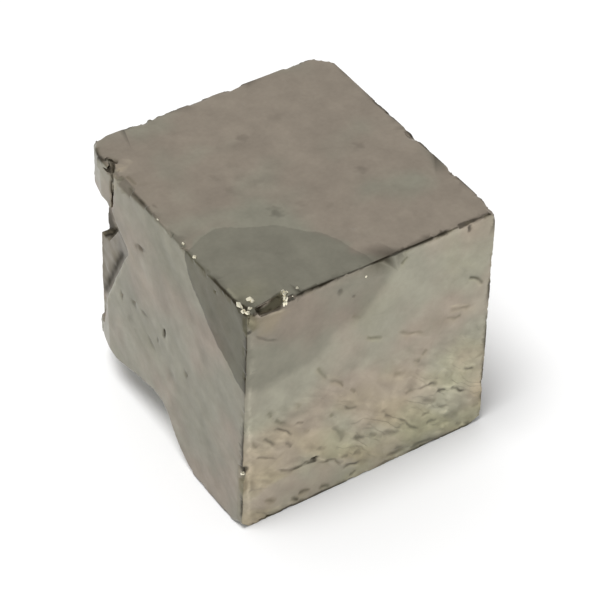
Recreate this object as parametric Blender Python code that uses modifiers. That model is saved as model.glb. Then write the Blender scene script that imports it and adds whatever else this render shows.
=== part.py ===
"""Pyrite specimen: one cube-shaped crystal, with stepped faces, a notched edge and a broken foot.

Run it with: blender --background --python part.py

Units are metres and +Z is up. The crystal rests on z = 0, its longer edges run along Y, and the Z axis
goes through the middle of its box. The front face looks along -Y and the left face along -X.

Features are placed on a face in millimetres: "across" runs to the right and "down" runs downwards from
the face's upper left corner, as it is seen from outside. On the top, down runs towards the front.
"""

import math
import random

import bmesh
import bpy
from mathutils import Matrix, Vector, noise

MM = 0.001

# Driving sizes, in metres
WIDTH = 30.2 * MM  # left face to right face, at the top
DEPTH = 32.4 * MM  # front face to back face
HEIGHT = 30.0 * MM
LEAN = 1.0 * MM  # the left face stands out this much further at the foot than at the top
SKEW = 0.2 * MM  # the right face stands out this much further at the back than at the front
EDGE_WEAR = 0.16 * MM  # width of the worn strip along each edge
SHORTEST_SIDE = 0.09 * MM  # points of a cutter closer than this become one

# The box's middle is on the Z axis, so the lean and the skew are shared between the two sides.
LEFT = -(WIDTH + LEAN + SKEW) / 2 + LEAN
RIGHT = LEFT + WIDTH
FAR_RIGHT = RIGHT + SKEW
FRONT = -DEPTH / 2
BACK = DEPTH / 2

# How far growth layers and weathered hollows stand from a face, in millimetres
LAYER_MM = 0.22
LEDGE_THICK_MM = 0.9
LEDGE_FLOOR_MM = -0.19  # where a ledge's middle lies in a weathered hollow
PIT_DEEP_MM = 0.30


class Face:
    """One side of the block: a corner to measure from, and the directions across, down and out."""

    def __init__(self, corner, across, down):
        self.corner = Vector(corner)
        self.across = Vector(across).normalized()
        self.down = Vector(down).normalized()
        self.out = self.down.cross(self.across)

    def point(self, across, down, lift=0.0):
        """A point on the face, in metres, from distances in millimetres. Lift is outwards."""
        return self.corner + (self.across * across + self.down * down + self.out * lift) * MM

    def place(self, across, down, lift=0.0, turn=0.0):
        """A matrix that stands a shape on the face: X across, Z out, turned anticlockwise in degrees."""
        axes = Matrix((self.across, -self.down, self.out)).transposed().to_4x4()
        spin = Matrix.Rotation(math.radians(turn), 4, "Z")
        return Matrix.Translation(self.point(across, down, lift)) @ axes @ spin


FACES = {
    "front": Face((LEFT, FRONT, HEIGHT), (1, 0, 0), (0, 0, -1)),
    "left": Face((LEFT, BACK, HEIGHT), (0, -1, 0), (-LEAN, 0, -HEIGHT)),
    "top": Face((LEFT, BACK, HEIGHT), (1, 0, 0), (0, -1, 0)),
    "right": Face((RIGHT, FRONT, HEIGHT), (SKEW, DEPTH, 0), (0, 0, -1)),
    "back": Face((FAR_RIGHT, BACK, HEIGHT), (-1, 0, 0), (0, 0, -1)),
}


# --- Scene and helpers ---------------------------------------------------------------------------


def clear_scene():
    """Empties the scene, so that the script can run again and again."""
    for item in list(bpy.data.objects):
        bpy.data.objects.remove(item, do_unlink=True)


def new_collection(name):
    made = bpy.data.collections.new(name)
    bpy.context.scene.collection.children.link(made)
    return made


def store(bm, mesh):
    """Turns all of a bmesh's faces outwards, puts it in a mesh and frees it."""
    bmesh.ops.recalc_face_normals(bm, faces=bm.faces)
    if bm.calc_volume(signed=True) < 0:
        bmesh.ops.reverse_faces(bm, faces=bm.faces)
    bm.to_mesh(mesh)
    bm.free()


def new_object(name, bm, collection):
    """Puts a bmesh in a new object."""
    mesh = bpy.data.meshes.new(name)
    store(bm, mesh)
    made = bpy.data.objects.new(name, mesh)
    collection.objects.link(made)
    return made


def ragged(outline, step=1.1, wander=0.16, seed=1):
    """A broken-looking copy of a closed outline: each side gets points that stray a little sideways."""
    dice = random.Random(seed)
    points = []
    for here, there in zip(outline, outline[1:] + outline[:1]):
        a, b = Vector(here), Vector(there)
        along = b - a
        count = max(1, round(along.length / step))
        sideways = Vector((-along.y, along.x)).normalized()
        for k in range(count):
            stray = dice.uniform(-wander, wander)
            points.append(a + along * (k / count) + sideways * stray)
    return points


def slab(name, face, outline, low, high, collection, tilt=None):
    """A flat slab on a face: its outline in across and down, between two heights over the face, all in mm.

    Tilt is (degrees, axis, pivot across, pivot down): the slab turns about that point of the face."""
    curve = bpy.data.curves.new(name, "CURVE")
    curve.dimensions = "2D"
    curve.fill_mode = "BOTH"
    curve.extrude = (high - low) / 2 * MM
    spline = curve.splines.new("POLY")
    spline.points.add(len(outline) - 1)
    for point, (across, down) in zip(spline.points, outline):
        point.co = (across * MM, -down * MM, 0, 1)
    spline.use_cyclic_u = True
    guide = bpy.data.objects.new(name, curve)
    collection.objects.link(guide)
    bpy.context.view_layer.update()
    graph = bpy.context.evaluated_depsgraph_get()
    solid = bpy.data.meshes.new_from_object(guide.evaluated_get(graph))
    bpy.data.objects.remove(guide)
    bpy.data.curves.remove(curve)

    bm = bmesh.new()
    bm.from_mesh(solid)
    bpy.data.meshes.remove(solid)
    bmesh.ops.remove_doubles(bm, verts=bm.verts, dist=0.001 * MM)
    bm.transform(Matrix.Translation((0, 0, (high + low) / 2 * MM)))
    if tilt:
        degrees, axis, across, down = tilt
        pivot = Matrix.Translation((across * MM, -down * MM, 0))
        bm.transform(pivot @ Matrix.Rotation(math.radians(degrees), 4, axis) @ pivot.inverted())
    bm.transform(face.place(0, 0))
    return new_object(name, bm, collection)


def grain(name, face, across, down, lift, size, turn, seed, collection):
    """A small cube-shaped crystal or chip, tipped at random. Size is its three sides in mm."""
    dice = random.Random(seed)
    bm = bmesh.new()
    bmesh.ops.create_cube(bm, size=1)
    tip_axis = Vector((dice.uniform(-1, 1), dice.uniform(-1, 1), 0.2))
    tip = Matrix.Rotation(dice.uniform(0.2, 0.7), 4, tip_axis)
    sides = Matrix.Diagonal((*[side * MM for side in size], 1))
    bm.transform(face.place(across, down, lift, turn) @ tip @ sides)
    return new_object(name, bm, collection)


def pit(name, face, across, down, width, length, turn, collection, deep=PIT_DEEP_MM):
    """A square-mouthed etch pit: a four-sided point that goes into the face."""
    bm = bmesh.new()
    bmesh.ops.create_cone(bm, cap_ends=True, segments=4, radius1=0.08, radius2=0.7071, depth=1)
    square = Matrix.Rotation(math.radians(45), 4, "Z")
    stretch = Matrix.Diagonal((width * MM, length * MM, 2 * deep * MM, 1))
    bm.transform(face.place(across, down, 0, turn) @ stretch @ square)
    return new_object(name, bm, collection)


def ledge(name, face, line, collection, seed, lift=0.0):
    """A thin plate that lies askew in a face, so that one long side stands out and the other is buried.

    Line is (start across, start down, end across, end down, width) in mm. Lift is where its middle lies."""
    dice = random.Random(seed)
    along = Vector((line[2] - line[0], line[1] - line[3]))
    turn = math.degrees(math.atan2(along.y, along.x))
    bm = bmesh.new()
    bmesh.ops.create_cone(bm, cap_ends=True, segments=8, radius1=0.5, radius2=0.42, depth=1)
    for vert in bm.verts:
        vert.co.x *= dice.uniform(0.86, 1.1)
        vert.co.y *= dice.uniform(0.80, 1.1)
    bmesh.ops.triangulate(bm, faces=bm.faces)
    tip = Matrix.Rotation(math.radians(LEDGE_TIP), 4, "X")
    size = Matrix.Diagonal((along.length * MM, line[4] * MM, LEDGE_THICK_MM * MM, 1))
    centre = ((line[0] + line[2]) / 2, (line[1] + line[3]) / 2)
    bm.transform(face.place(*centre, lift - LEDGE_THICK_MM / 2, turn) @ tip @ size)
    return new_object(name, bm, collection)


def strip(name, start, end, outward, deep, collection, wide=3.0):
    """A box laid along an edge, to wear a flat strip on it. Its under side is deep mm below the edge."""
    start, end, outward = Vector(start), Vector(end), Vector(outward)
    along = (end - start).normalized()
    out = (outward - along * outward.dot(along)).normalized()
    axes = Matrix((along, out.cross(along), out)).transposed().to_4x4()
    centre = (start + end) / 2 + out * (wide / 2 - deep) * MM
    bm = bmesh.new()
    bmesh.ops.create_cube(bm, size=1)
    size = Matrix.Diagonal(((end - start).length, wide * MM, wide * MM, 1))
    bm.transform(Matrix.Translation(centre) @ axes @ size)
    return new_object(name, bm, collection)


def apply_boolean(target, other, operation):
    """Adds a Boolean with the exact solver. The modifier stays on the object."""
    step = target.modifiers.new(other.name, "BOOLEAN")
    step.operation = operation
    step.solver = "EXACT"
    step.object = other


# --- The block -----------------------------------------------------------------------------------


def make_block(collection):
    """The six big faces: a cube primitive at the crystal's size, with its left face leaning out at the foot
    and its right face turned a little."""
    bm = bmesh.new()
    bmesh.ops.create_cube(bm, size=1)
    middle = Matrix.Translation(((LEFT + RIGHT) / 2, 0, HEIGHT / 2))
    bm.transform(middle @ Matrix.Diagonal((WIDTH, DEPTH, HEIGHT, 1)))
    for vert in bm.verts:
        if vert.co.x < 0 and vert.co.z < HEIGHT / 2:
            vert.co.x -= LEAN
        if vert.co.x > 0 and vert.co.y > 0:
            vert.co.x += SKEW
    return new_object("pyrite_cube", bm, collection)


# Corners and edges cut off by flat facets: (place, a point there, outward direction, cut depth in mm)
FACETS = [
    ("far top", (FAR_RIGHT, BACK, HEIGHT), (1.0, 1.0, 0.55), 1.40),
    ("far top, right side", (FAR_RIGHT, BACK, HEIGHT), (1.0, 0.35, 0.45), 0.62),
    ("far top, left side", (FAR_RIGHT, BACK, HEIGHT), (0.35, 1.0, 0.45), 0.80),
    ("far edge", (FAR_RIGHT, BACK, HEIGHT / 2), (1.0, 0.9, 0.02), 0.55),
    ("right top", (RIGHT, FRONT, HEIGHT), (1.0, -0.45, 0.8), 0.75),
    ("right foot", (RIGHT, FRONT, 0), (1.0, -0.7, -0.9), 0.95),
    ("front foot", (LEFT - LEAN, FRONT, 0), (-1.0, -0.8, -1.0), 0.90),
    ("front top", (LEFT, FRONT, HEIGHT), (-0.8, -0.9, 1.0), 0.50),
    ("rear left top", (LEFT, BACK, HEIGHT), (-0.9, 0.8, 0.6), 1.15),
    ("rear left edge", (LEFT, BACK, HEIGHT), (-0.84, 0.54, 0.004), 0.95),
    ("rear left edge, left side", (LEFT, BACK, HEIGHT), (-0.97, 0.25, 0.014), 0.78),
    ("rear left edge, back side", (LEFT, BACK, HEIGHT), (-0.32, 0.95, -0.004), 0.80),
    ("rear foot", (FAR_RIGHT, BACK, 0), (0.8, 1.0, -0.9), 0.90),
]


def cleave(block, place, outward, deep):
    """Cuts a corner or an edge off along a flat plane and closes the cut."""
    bm = bmesh.new()
    bm.from_mesh(block.data)
    normal = Vector(outward).normalized()
    cut = bmesh.ops.bisect_plane(
        bm,
        geom=bm.verts[:] + bm.edges[:] + bm.faces[:],
        plane_co=Vector(place) - normal * deep * MM,
        plane_no=normal,
        clear_outer=True,
    )
    rim = [item for item in cut["geom_cut"] if isinstance(item, bmesh.types.BMEdge)]
    bmesh.ops.contextual_create(bm, geom=rim)
    store(bm, block.data)


def wear_edges(block):
    """A narrow bevel along every edge of the block."""
    worn = block.modifiers.new("edge wear", "BEVEL")
    worn.width = EDGE_WEAR
    worn.segments = 1
    worn.limit_method = "ANGLE"
    worn.angle_limit = math.radians(20)


# --- Broken places -------------------------------------------------------------------------------

# The foot is broken away under this line of the left face.
BROKEN_FOOT = [
    (-2.0, 25.2), (1.6, 25.0), (3.9, 25.5), (6.4, 25.5), (10.3, 24.7), (14.3, 23.9), (16.3, 24.3),
    (17.4, 25.2), (18.4, 26.6), (20.0, 28.2), (22.0, 29.3), (24.4, 30.4), (24.0, 32.0), (-2.0, 32.0),
]
BROKEN_FOOT_DEEP = 8.0
BROKEN_FOOT_SLOPE = 0.80  # the break drops this far for each millimetre that it goes in

# A neighbour crystal has come away from the rear left edge and left this hollow, in two steps.
NOTCH = [
    (-2.0, 5.2), (5.5, 5.2), (6.8, 6.6), (8.6, 8.2), (9.0, 8.9), (8.2, 10.3), (6.3, 14.2), (4.7, 17.5),
    (3.6, 20.8), (2.6, 23.4), (-2.0, 24.2),
]
NOTCH_DEEP = 1.3
NOTCH_TILT = -9.0
INNER_NOTCH = [(-2.0, 4.9), (4.6, 4.9), (6.0, 6.4), (5.2, 8.6), (2.4, 12.4), (-2.0, 13.4)]
INNER_NOTCH_DEEP = 2.8

# The crack that sets off the small crystal at the rear left corner
CRACK_LEFT = [
    (5.5, -1.0), (6.2, -1.0), (6.1, 1.8), (5.9, 4.2), (5.6, 5.6), (5.3, 5.4), (5.5, 3.4),
    (5.6, 1.4),
]
CRACK_TOP = [
    (-1.0, 5.1), (0.35, 4.7), (0.7, 3.6), (1.1, 3.7), (1.5, 4.6), (0.9, 4.9), (0.5, 5.8),
    (-1.0, 6.3),
]
CRACK_DEEP = 1.0


def roughen(cutter, face, loops, slope, rough):
    """Makes the deep part of a cutter uneven. It drops by slope for each millimetre that it goes in."""
    bm = bmesh.new()
    bm.from_mesh(cutter.data)
    for deep in loops:
        whole = bm.verts[:] + bm.edges[:] + bm.faces[:]
        bmesh.ops.bisect_plane(bm, geom=whole, plane_co=face.point(0, 0, -deep), plane_no=face.out)
    bmesh.ops.remove_doubles(bm, verts=bm.verts, dist=SHORTEST_SIDE)
    bmesh.ops.triangulate(bm, faces=bm.faces)
    for vert in bm.verts:
        deep = -(vert.co - face.corner).dot(face.out) / MM
        if deep < 0.3:
            continue
        uneven = noise.noise(vert.co / MM * 0.42) + 0.5 * noise.noise(vert.co / MM * 1.1)
        drop = slope * (deep + uneven * rough * min(deep, 2))
        vert.co += (face.down * drop + face.out * uneven * rough) * MM
    store(bm, cutter.data)


def split_floor(cutter, face, spacing=2.1):
    """Cuts a slab crosswise, so that its flat floor has points to move."""
    bm = bmesh.new()
    bm.from_mesh(cutter.data)
    for direction, length in ((face.across, DEPTH), (face.down, HEIGHT)):
        for k in range(1, int(length / MM / spacing)):
            whole = bm.verts[:] + bm.edges[:] + bm.faces[:]
            place = face.corner + direction * k * spacing * MM
            bmesh.ops.bisect_plane(bm, geom=whole, plane_co=place, plane_no=direction)
    bmesh.ops.remove_doubles(bm, verts=bm.verts, dist=SHORTEST_SIDE)
    store(bm, cutter.data)


def broken_places(cutters):
    """The big missing pieces, as cutters."""
    left, top = FACES["left"], FACES["top"]
    outline = ragged(BROKEN_FOOT, 1.6, 0.12, seed=4)
    foot = slab("cut_foot", left, outline, -BROKEN_FOOT_DEEP, 2.0, cutters)
    roughen(foot, left, (-0.1, 0.6, 1.8, 3.2, 4.8, 6.4), BROKEN_FOOT_SLOPE, 0.5)
    yield foot

    outline = ragged(NOTCH, 1.8, 0.10, seed=5)
    tilt = (NOTCH_TILT, "Y", 4, 12)
    notch = slab("cut_notch", left, outline, -NOTCH_DEEP, 1.5, cutters, tilt)
    split_floor(notch, left)
    roughen(notch, left, (0.2,), 0.0, 0.12)
    yield notch

    outline = ragged(INNER_NOTCH, 2.0, 0.12, seed=6)
    inner = slab("cut_inner_notch", left, outline, -INNER_NOTCH_DEEP, 1.6, cutters)
    split_floor(inner, left)
    roughen(inner, left, (1.2, 2.2), 0.0, 0.3)
    yield inner

    yield slab("cut_crack_left", left, CRACK_LEFT, -CRACK_DEEP, 1.0, cutters)
    yield slab("cut_crack_top", top, CRACK_TOP, -CRACK_DEEP, 1.0, cutters)


# --- The faces' own relief -----------------------------------------------------------------------

# A weathered zone across the lower part of the front, and the fresh plate left inside it
WEATHERED = [
    (-3, 15.4), (2.5, 14.9), (5.6, 15.9), (8.4, 17.2), (11.6, 15.6), (13.2, 17.2), (15.2, 18.7),
    (19.9, 19.9), (22.0, 20.6), (24.0, 21.4), (25.6, 22.6), (27.6, 23.9), (33, 25.6), (33, 33),
    (-3, 33),
]
FRESH_PLATE = [
    (0.5, 24.9), (2.0, 24.3), (3.6, 23.9), (5.2, 24.7), (7.2, 24.9), (8.8, 25.0), (10.1, 25.9),
    (11.6, 27.2), (13.2, 28.2), (15.2, 28.9), (14.6, 29.75), (0.9, 29.75),
]
MAIN_CREVICE = [
    (3.4, 23.1), (5.2, 24.0), (7.2, 24.2), (8.2, 23.9), (8.9, 24.2), (10.2, 25.2), (11.7, 26.6),
    (13.3, 27.7), (15.2, 28.4), (15.0, 28.8), (13.1, 28.1), (11.5, 27.1), (10.0, 25.8), (8.7, 24.9),
    (7.1, 24.7), (5.1, 24.5),
]
RIGHT_CREVICE = [(20.1, 19.9), (22.2, 20.4), (24.0, 21.3), (23.8, 21.7), (22.0, 20.9), (20.0, 20.3)]
RIGHT_CREVICE_END = [(25.6, 22.5), (27.0, 23.1), (27.8, 24.0), (27.4, 24.2), (26.6, 23.6), (25.5, 23.0)]
STEP_IN_FACE = [
    (8.1, 10.3), (8.5, 10.3), (9.0, 12.4), (10.7, 13.6), (11.9, 15.2), (11.5, 15.4), (10.4, 13.9),
    (8.6, 12.7),
]

# Slanting ledges of the weathered zone: (start across, down, end across, down, width)
LEDGES = [
    (1.2, 15.6, 4.6, 17.6, 1.8), (3.6, 16.2, 6.6, 19.8, 1.6), (0.8, 18.0, 4.6, 20.4, 1.7),
    (6.0, 17.6, 8.2, 19.4, 1.3), (0.6, 20.6, 5.2, 22.6, 1.6), (5.0, 19.8, 9.4, 22.6, 1.9),
    (10.6, 20.4, 12.8, 24.2, 1.7), (10.8, 17.8, 15.0, 20.2, 1.7), (12.6, 16.2, 15.4, 19.0, 1.4),
    (13.0, 22.2, 15.8, 26.4, 1.8), (15.6, 20.4, 18.8, 22.6, 1.5), (15.8, 23.4, 18.0, 28.0, 1.9),
    (17.6, 22.0, 22.2, 27.4, 1.8), (21.0, 23.2, 25.4, 25.4, 1.7), (22.0, 25.8, 26.6, 27.6, 1.7),
    (25.6, 24.6, 29.4, 26.8, 1.6), (18.6, 27.0, 22.0, 28.9, 1.5), (25.2, 27.6, 28.6, 28.8, 1.2),
    (12.4, 26.0, 14.6, 27.6, 1.2),
]
SMALL_LEDGES = [
    (25.0, 2.2, 28.6, 4.0, 1.5), (26.6, 4.2, 29.0, 6.6, 1.6), (24.6, 11.0, 28.6, 12.8, 1.3),
    (14.4, 9.8, 17.2, 11.2, 1.0), (19.4, 11.4, 22.0, 12.8, 1.0), (26.8, 7.4, 29.2, 9.6, 0.9),
]
LEDGE_TIP = 9.0  # degrees that a ledge is tipped out of its face

# Etch pits: (face, across, down, width, length, turn)
PITS = [
    ("top", 14.5, 8.3, 0.7, 0.9, 20), ("top", 11.2, 11.6, 1.5, 1.2, 24),
    ("top", 8.4, 12.2, 0.5, 1.3, -20), ("top", 10.6, 13.7, 0.8, 0.6, 0),
    ("top", 8.8, 15.0, 0.8, 0.6, 30), ("top", 12.0, 15.3, 1.0, 0.5, -15),
    ("top", 11.0, 20.6, 0.9, 1.3, -12), ("top", 13.8, 20.8, 0.5, 0.8, 0),
    ("top", 19.2, 7.0, 1.2, 1.0, 10), ("top", 24.2, 15.9, 0.7, 0.8, 40),
    ("top", 22.3, 19.4, 0.9, 0.8, 15), ("top", 16.1, 22.6, 0.5, 1.0, 60),
    ("top", 23.7, 24.4, 0.7, 0.6, 0), ("top", 8.9, 3.8, 0.8, 0.5, 0),
    ("top", 7.8, 26.2, 0.7, 0.9, 20), ("front", 8.3, 24.3, 1.0, 0.7, -20),
    ("front", 11.2, 2.1, 0.6, 0.8, 0), ("front", 12.5, 3.3, 0.6, 0.5, 20),
    ("front", 21.4, 16.3, 1.1, 0.9, 30), ("front", 27.0, 0.9, 0.6, 0.8, 0),
    ("front", 18.6, 1.1, 0.7, 0.9, -20), ("left", 16.6, 14.2, 0.6, 1.4, -12),
    ("left", 11.6, 6.2, 2.2, 0.6, -14), ("left", 21.0, 16.8, 0.9, 0.8, 0),
    ("left", 10.3, 14.6, 1.8, 0.6, 12), ("left", 7.6, 15.6, 0.6, 1.3, -20),
    ("left", 26.4, 1.3, 0.8, 0.7, 0), ("right", 8.2, 9.4, 1.0, 1.3, 12),
    ("right", 19.6, 6.1, 1.3, 0.9, -8), ("right", 24.7, 17.2, 0.8, 1.1, 20),
    ("right", 12.4, 21.7, 1.1, 0.9, 0), ("back", 7.1, 6.8, 1.2, 0.9, 10),
    ("back", 17.5, 12.3, 0.9, 1.2, -16), ("back", 11.3, 19.6, 1.3, 1.0, 8),
]

# Hollows between growth layers on the two sides that face away: (face, outline)
FAR_HOLLOWS = [
    ("right", [
        (3.0, 13.0), (9.5, 11.2), (17.0, 14.4), (24.5, 12.8), (29.2, 16.0), (28.4, 24.6),
        (20.6, 27.2), (11.0, 25.4), (4.2, 26.6),
    ]),
    ("right", [(12.0, 2.4), (21.8, 1.6), (28.6, 3.8), (26.2, 8.8), (16.4, 9.0)]),
    ("back", [
        (2.2, 9.8), (9.4, 8.0), (16.8, 10.6), (21.6, 9.4), (24.0, 15.4), (19.2, 20.8), (12.4, 24.2),
        (4.0, 22.0),
    ]),
]
FAR_LEDGES = [
    ("right", (6.6, 21.6, 11.6, 22.6, 1.8)), ("right", (19.0, 18.4, 23.0, 20.4, 1.6)),
    ("right", (13.4, 17.2, 17.2, 18.6, 1.5)), ("right", (17.6, 5.6, 22.4, 5.0, 1.5)),
    ("back", (11.2, 18.0, 15.4, 19.0, 1.6)), ("back", (4.4, 15.8, 8.4, 14.2, 1.7)),
]


def relief_cuts(cutters):
    """Hollows of the faces, as cutters."""
    front = FACES["front"]
    yield slab("cut_weathered", front, ragged(WEATHERED, 1.3, 0.22, seed=11), -LAYER_MM, 1.0, cutters)
    yield slab("cut_main_crevice", front, MAIN_CREVICE, -2.2 * LAYER_MM, 1.1, cutters)
    yield slab("cut_right_crevice", front, RIGHT_CREVICE, -2.0 * LAYER_MM, 1.2, cutters)
    yield slab("cut_right_crevice_end", front, RIGHT_CREVICE_END, -2.0 * LAYER_MM, 1.3, cutters)
    yield slab("cut_step", front, STEP_IN_FACE, -0.9 * LAYER_MM, 1.4, cutters)
    for k, (face, outline) in enumerate(FAR_HOLLOWS):
        outline = ragged(outline, 1.5, 0.3, seed=30 + k)
        yield slab(f"cut_hollow_{k}", FACES[face], outline, -LAYER_MM, 1.0, cutters)
    for k, (face, *where) in enumerate(PITS):
        yield pit(f"cut_pit_{k:02d}", FACES[face], *where, cutters)


def relief_rises(helpers):
    """Raised parts of the faces, which join the block."""
    front = FACES["front"]
    yield slab("add_plate", front, ragged(FRESH_PLATE, 1.3, 0.10, seed=12), -2.0, -0.01, helpers)
    for k, line in enumerate(LEDGES):
        yield ledge(f"add_ledge_{k:02d}", front, line, helpers, seed=k, lift=LEDGE_FLOOR_MM)
    for k, line in enumerate(SMALL_LEDGES):
        yield ledge(f"add_small_ledge_{k}", front, line, helpers, seed=20 + k, lift=-0.08)
    for k, (face, line) in enumerate(FAR_LEDGES):
        yield ledge(f"add_far_ledge_{k}", FACES[face], line, helpers, seed=40 + k, lift=LEDGE_FLOOR_MM)


# --- Worn edges and the crushed corner -----------------------------------------------------------

# Chips along the edges: (face, across, down, size in mm)
CHIPS = [
    ("top", 2.9, 32.3, (3.2, 1.3, 1.2)), ("top", 5.2, 32.5, (1.1, 0.8, 0.7)),
    ("top", 0.1, 31.2, (1.0, 1.3, 0.8)), ("top", 0.2, 20.1, (0.5, 1.2, 0.5)),
    ("top", 0.1, 17.5, (0.4, 0.9, 0.5)), ("top", 0.2, 24.6, (0.4, 0.9, 0.4)),
    ("top", 17.0, 32.5, (2.0, 0.5, 0.5)), ("top", 26.6, 32.3, (2.4, 0.7, 0.7)),
    ("top", 29.9, 17.5, (0.6, 2.2, 0.7)), ("top", 18.6, 0.1, (1.6, 0.5, 0.6)),
    ("top", 25.6, 0.0, (1.3, 0.5, 0.5)), ("top", 8.6, 0.0, (1.2, 0.4, 0.5)),
    ("front", -0.6, 22.4, (0.8, 1.4, 0.8)), ("front", 17.4, 30.1, (2.2, 0.4, 0.6)),
    ("front", 22.4, 30.1, (3.6, 0.35, 0.8)), ("front", 5.0, 30.0, (1.5, 0.7, 0.6)),
    ("front", 29.9, 21.6, (0.7, 1.4, 0.7)), ("front", 30.1, 14.0, (0.4, 1.6, 0.5)),
    ("right", 32.3, 12.0, (0.8, 2.6, 0.8)), ("right", 20.0, 30.0, (3.2, 0.9, 0.9)),
    ("right", 8.0, 0.0, (2.2, 0.6, 0.6)), ("back", 24.0, 0.0, (2.4, 0.6, 0.8)),
    ("back", 12.0, 30.1, (3.6, 1.0, 1.0)), ("back", 0.0, 22.0, (0.8, 2.4, 0.8)),
]

# Flat strips worn along an edge: (face, start, end, outward direction, depth in mm)
WORN_STRIPS = [
    ("left", (32.4, 22.6), (32.4, 29.2), (-1.0, -0.8, 0.05), 0.42),
    ("left", (32.4, 20.9), (32.4, 22.9), (-1.0, -0.9, 0.20), 0.55),
    ("left", (5.6, 0.0), (9.6, 0.0), (-1.0, 0.12, 0.75), 0.55),
    ("left", (9.2, 0.0), (12.6, 0.0), (-1.0, 0.05, 0.9), 0.30),
    ("right", (32.4, 6.0), (32.4, 15.0), (1.0, 0.9, 0.04), 0.65),
]

# Bright grains on the crushed front corner: (across, down, lift, size)
GRAINS = [
    (0.70, 30.5, -0.50, (0.75, 0.70, 0.65)), (1.55, 30.5, -0.50, (0.70, 0.65, 0.60)),
    (0.95, 31.4, -0.55, (0.95, 0.60, 0.60)), (4.60, 31.3, -0.62, (0.60, 1.40, 0.60)),
    (6.20, 31.3, -0.55, (0.80, 0.70, 0.60)), (0.55, 22.1, -0.50, (0.50, 0.60, 0.50)),
]


def chips(cutters):
    """Small flakes missing from the edges, as cutters."""
    for k, (face, across, down, size) in enumerate(CHIPS):
        yield grain(f"cut_chip_{k:02d}", FACES[face], across, down, 0.0, size, 0, 70 + k, cutters)


def worn_strips(cutters):
    """Flattened lengths of the edges, as cutters."""
    for k, (face, start, end, outward, deep) in enumerate(WORN_STRIPS):
        side = FACES[face]
        yield strip(f"cut_strip_{k}", side.point(*start), side.point(*end), outward, deep, cutters)


def crushed_grains(helpers):
    """Small broken grains that stand on the front corner."""
    for k, (across, down, lift, size) in enumerate(GRAINS):
        yield grain(f"add_grain_{k}", FACES["top"], across, down, lift, size, 20 * k, 50 + k, helpers)


# --- Finish --------------------------------------------------------------------------------------


def pyrite():
    """Pale brass-grey metal, slightly dull."""
    material = bpy.data.materials.new("pyrite")
    material.use_nodes = True
    shader = material.node_tree.nodes["Principled BSDF"]
    shader.inputs["Base Color"].default_value = (0.43, 0.40, 0.32, 1)
    shader.inputs["Metallic"].default_value = 1.0
    shader.inputs["Roughness"].default_value = 0.34
    return material


def main():
    clear_scene()
    crystal = new_collection("pyrite specimen")
    helpers = new_collection("cutters and joined shapes")

    block = make_block(crystal)
    for _, place, outward, deep in FACETS:
        cleave(block, place, outward, deep)
    wear_edges(block)

    for shape in broken_places(helpers):
        apply_boolean(block, shape, "DIFFERENCE")
    for shape in worn_strips(helpers):
        apply_boolean(block, shape, "DIFFERENCE")
    for shape in relief_cuts(helpers):
        apply_boolean(block, shape, "DIFFERENCE")
    for shape in relief_rises(helpers):
        apply_boolean(block, shape, "UNION")
    for shape in chips(helpers):
        apply_boolean(block, shape, "DIFFERENCE")
    for shape in crushed_grains(helpers):
        apply_boolean(block, shape, "UNION")
    for helper in helpers.objects:
        helper.hide_render = True
        helper.display_type = "WIRE"
    block.data.materials.append(pyrite())


main()
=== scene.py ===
# %% [markdown]
# # A cube of pyrite, cell by cell
# Pyrite is iron sulphide. It grows as cubes with a dull brass shine, and a real one is never quite
# perfect: its faces ripple, its edges are nicked, and a neighbour that broke away leaves a scar. The big
# shapes are already there as a plain solid. These cells turn it into a stone: a finer surface, then
# the marks on every side, then the metal, and last the light. The first cell loads the solid.

# %% Load the plain solid
import math
from itertools import product

import bmesh
import bpy
import numpy as np
from mathutils import Matrix, Vector


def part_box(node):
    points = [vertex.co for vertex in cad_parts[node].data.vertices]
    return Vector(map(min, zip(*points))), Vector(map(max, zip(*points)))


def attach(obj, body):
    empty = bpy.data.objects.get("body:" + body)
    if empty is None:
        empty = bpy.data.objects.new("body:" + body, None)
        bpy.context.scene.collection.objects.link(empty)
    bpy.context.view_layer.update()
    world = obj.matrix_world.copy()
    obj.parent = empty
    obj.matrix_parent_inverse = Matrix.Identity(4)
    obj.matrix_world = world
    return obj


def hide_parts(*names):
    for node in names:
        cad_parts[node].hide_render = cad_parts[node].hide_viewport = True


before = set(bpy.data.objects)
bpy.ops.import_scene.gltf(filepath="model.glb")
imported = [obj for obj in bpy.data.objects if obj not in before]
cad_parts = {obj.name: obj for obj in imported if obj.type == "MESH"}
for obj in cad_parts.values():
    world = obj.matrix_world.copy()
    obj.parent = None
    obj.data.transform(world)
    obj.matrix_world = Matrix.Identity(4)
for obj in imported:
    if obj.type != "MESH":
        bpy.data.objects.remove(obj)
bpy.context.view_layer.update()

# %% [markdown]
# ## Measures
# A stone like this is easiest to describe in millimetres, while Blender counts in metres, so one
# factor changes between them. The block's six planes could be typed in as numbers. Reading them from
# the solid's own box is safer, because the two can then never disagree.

MM = 0.001
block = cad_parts["pyrite_cube"]
box_low, box_high = (np.array(corner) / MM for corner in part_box("pyrite_cube"))
LEFT_LEAN = 1.0  # the left face stands out this much further at the foot than at the top
RIGHT_SKEW = 0.2  # the right face stands out this much further at the back than at the front
LEFT = box_low[0] + LEFT_LEAN
RIGHT = box_high[0] - RIGHT_SKEW
FRONT, BACK = box_low[1], box_high[1]
HEIGHT = box_high[2]
print("block, mm:", np.round(box_high - box_low, 2))

# %% [markdown]
# ## Camera
# The stone is seen from its front left corner, a little under forty-five degrees from above. A camera can be
# aimed with a constraint, but two angles, a roll and an aim point say the same thing in numbers that
# can be checked. The lens is long, so the cube's edges hardly draw together.

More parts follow.
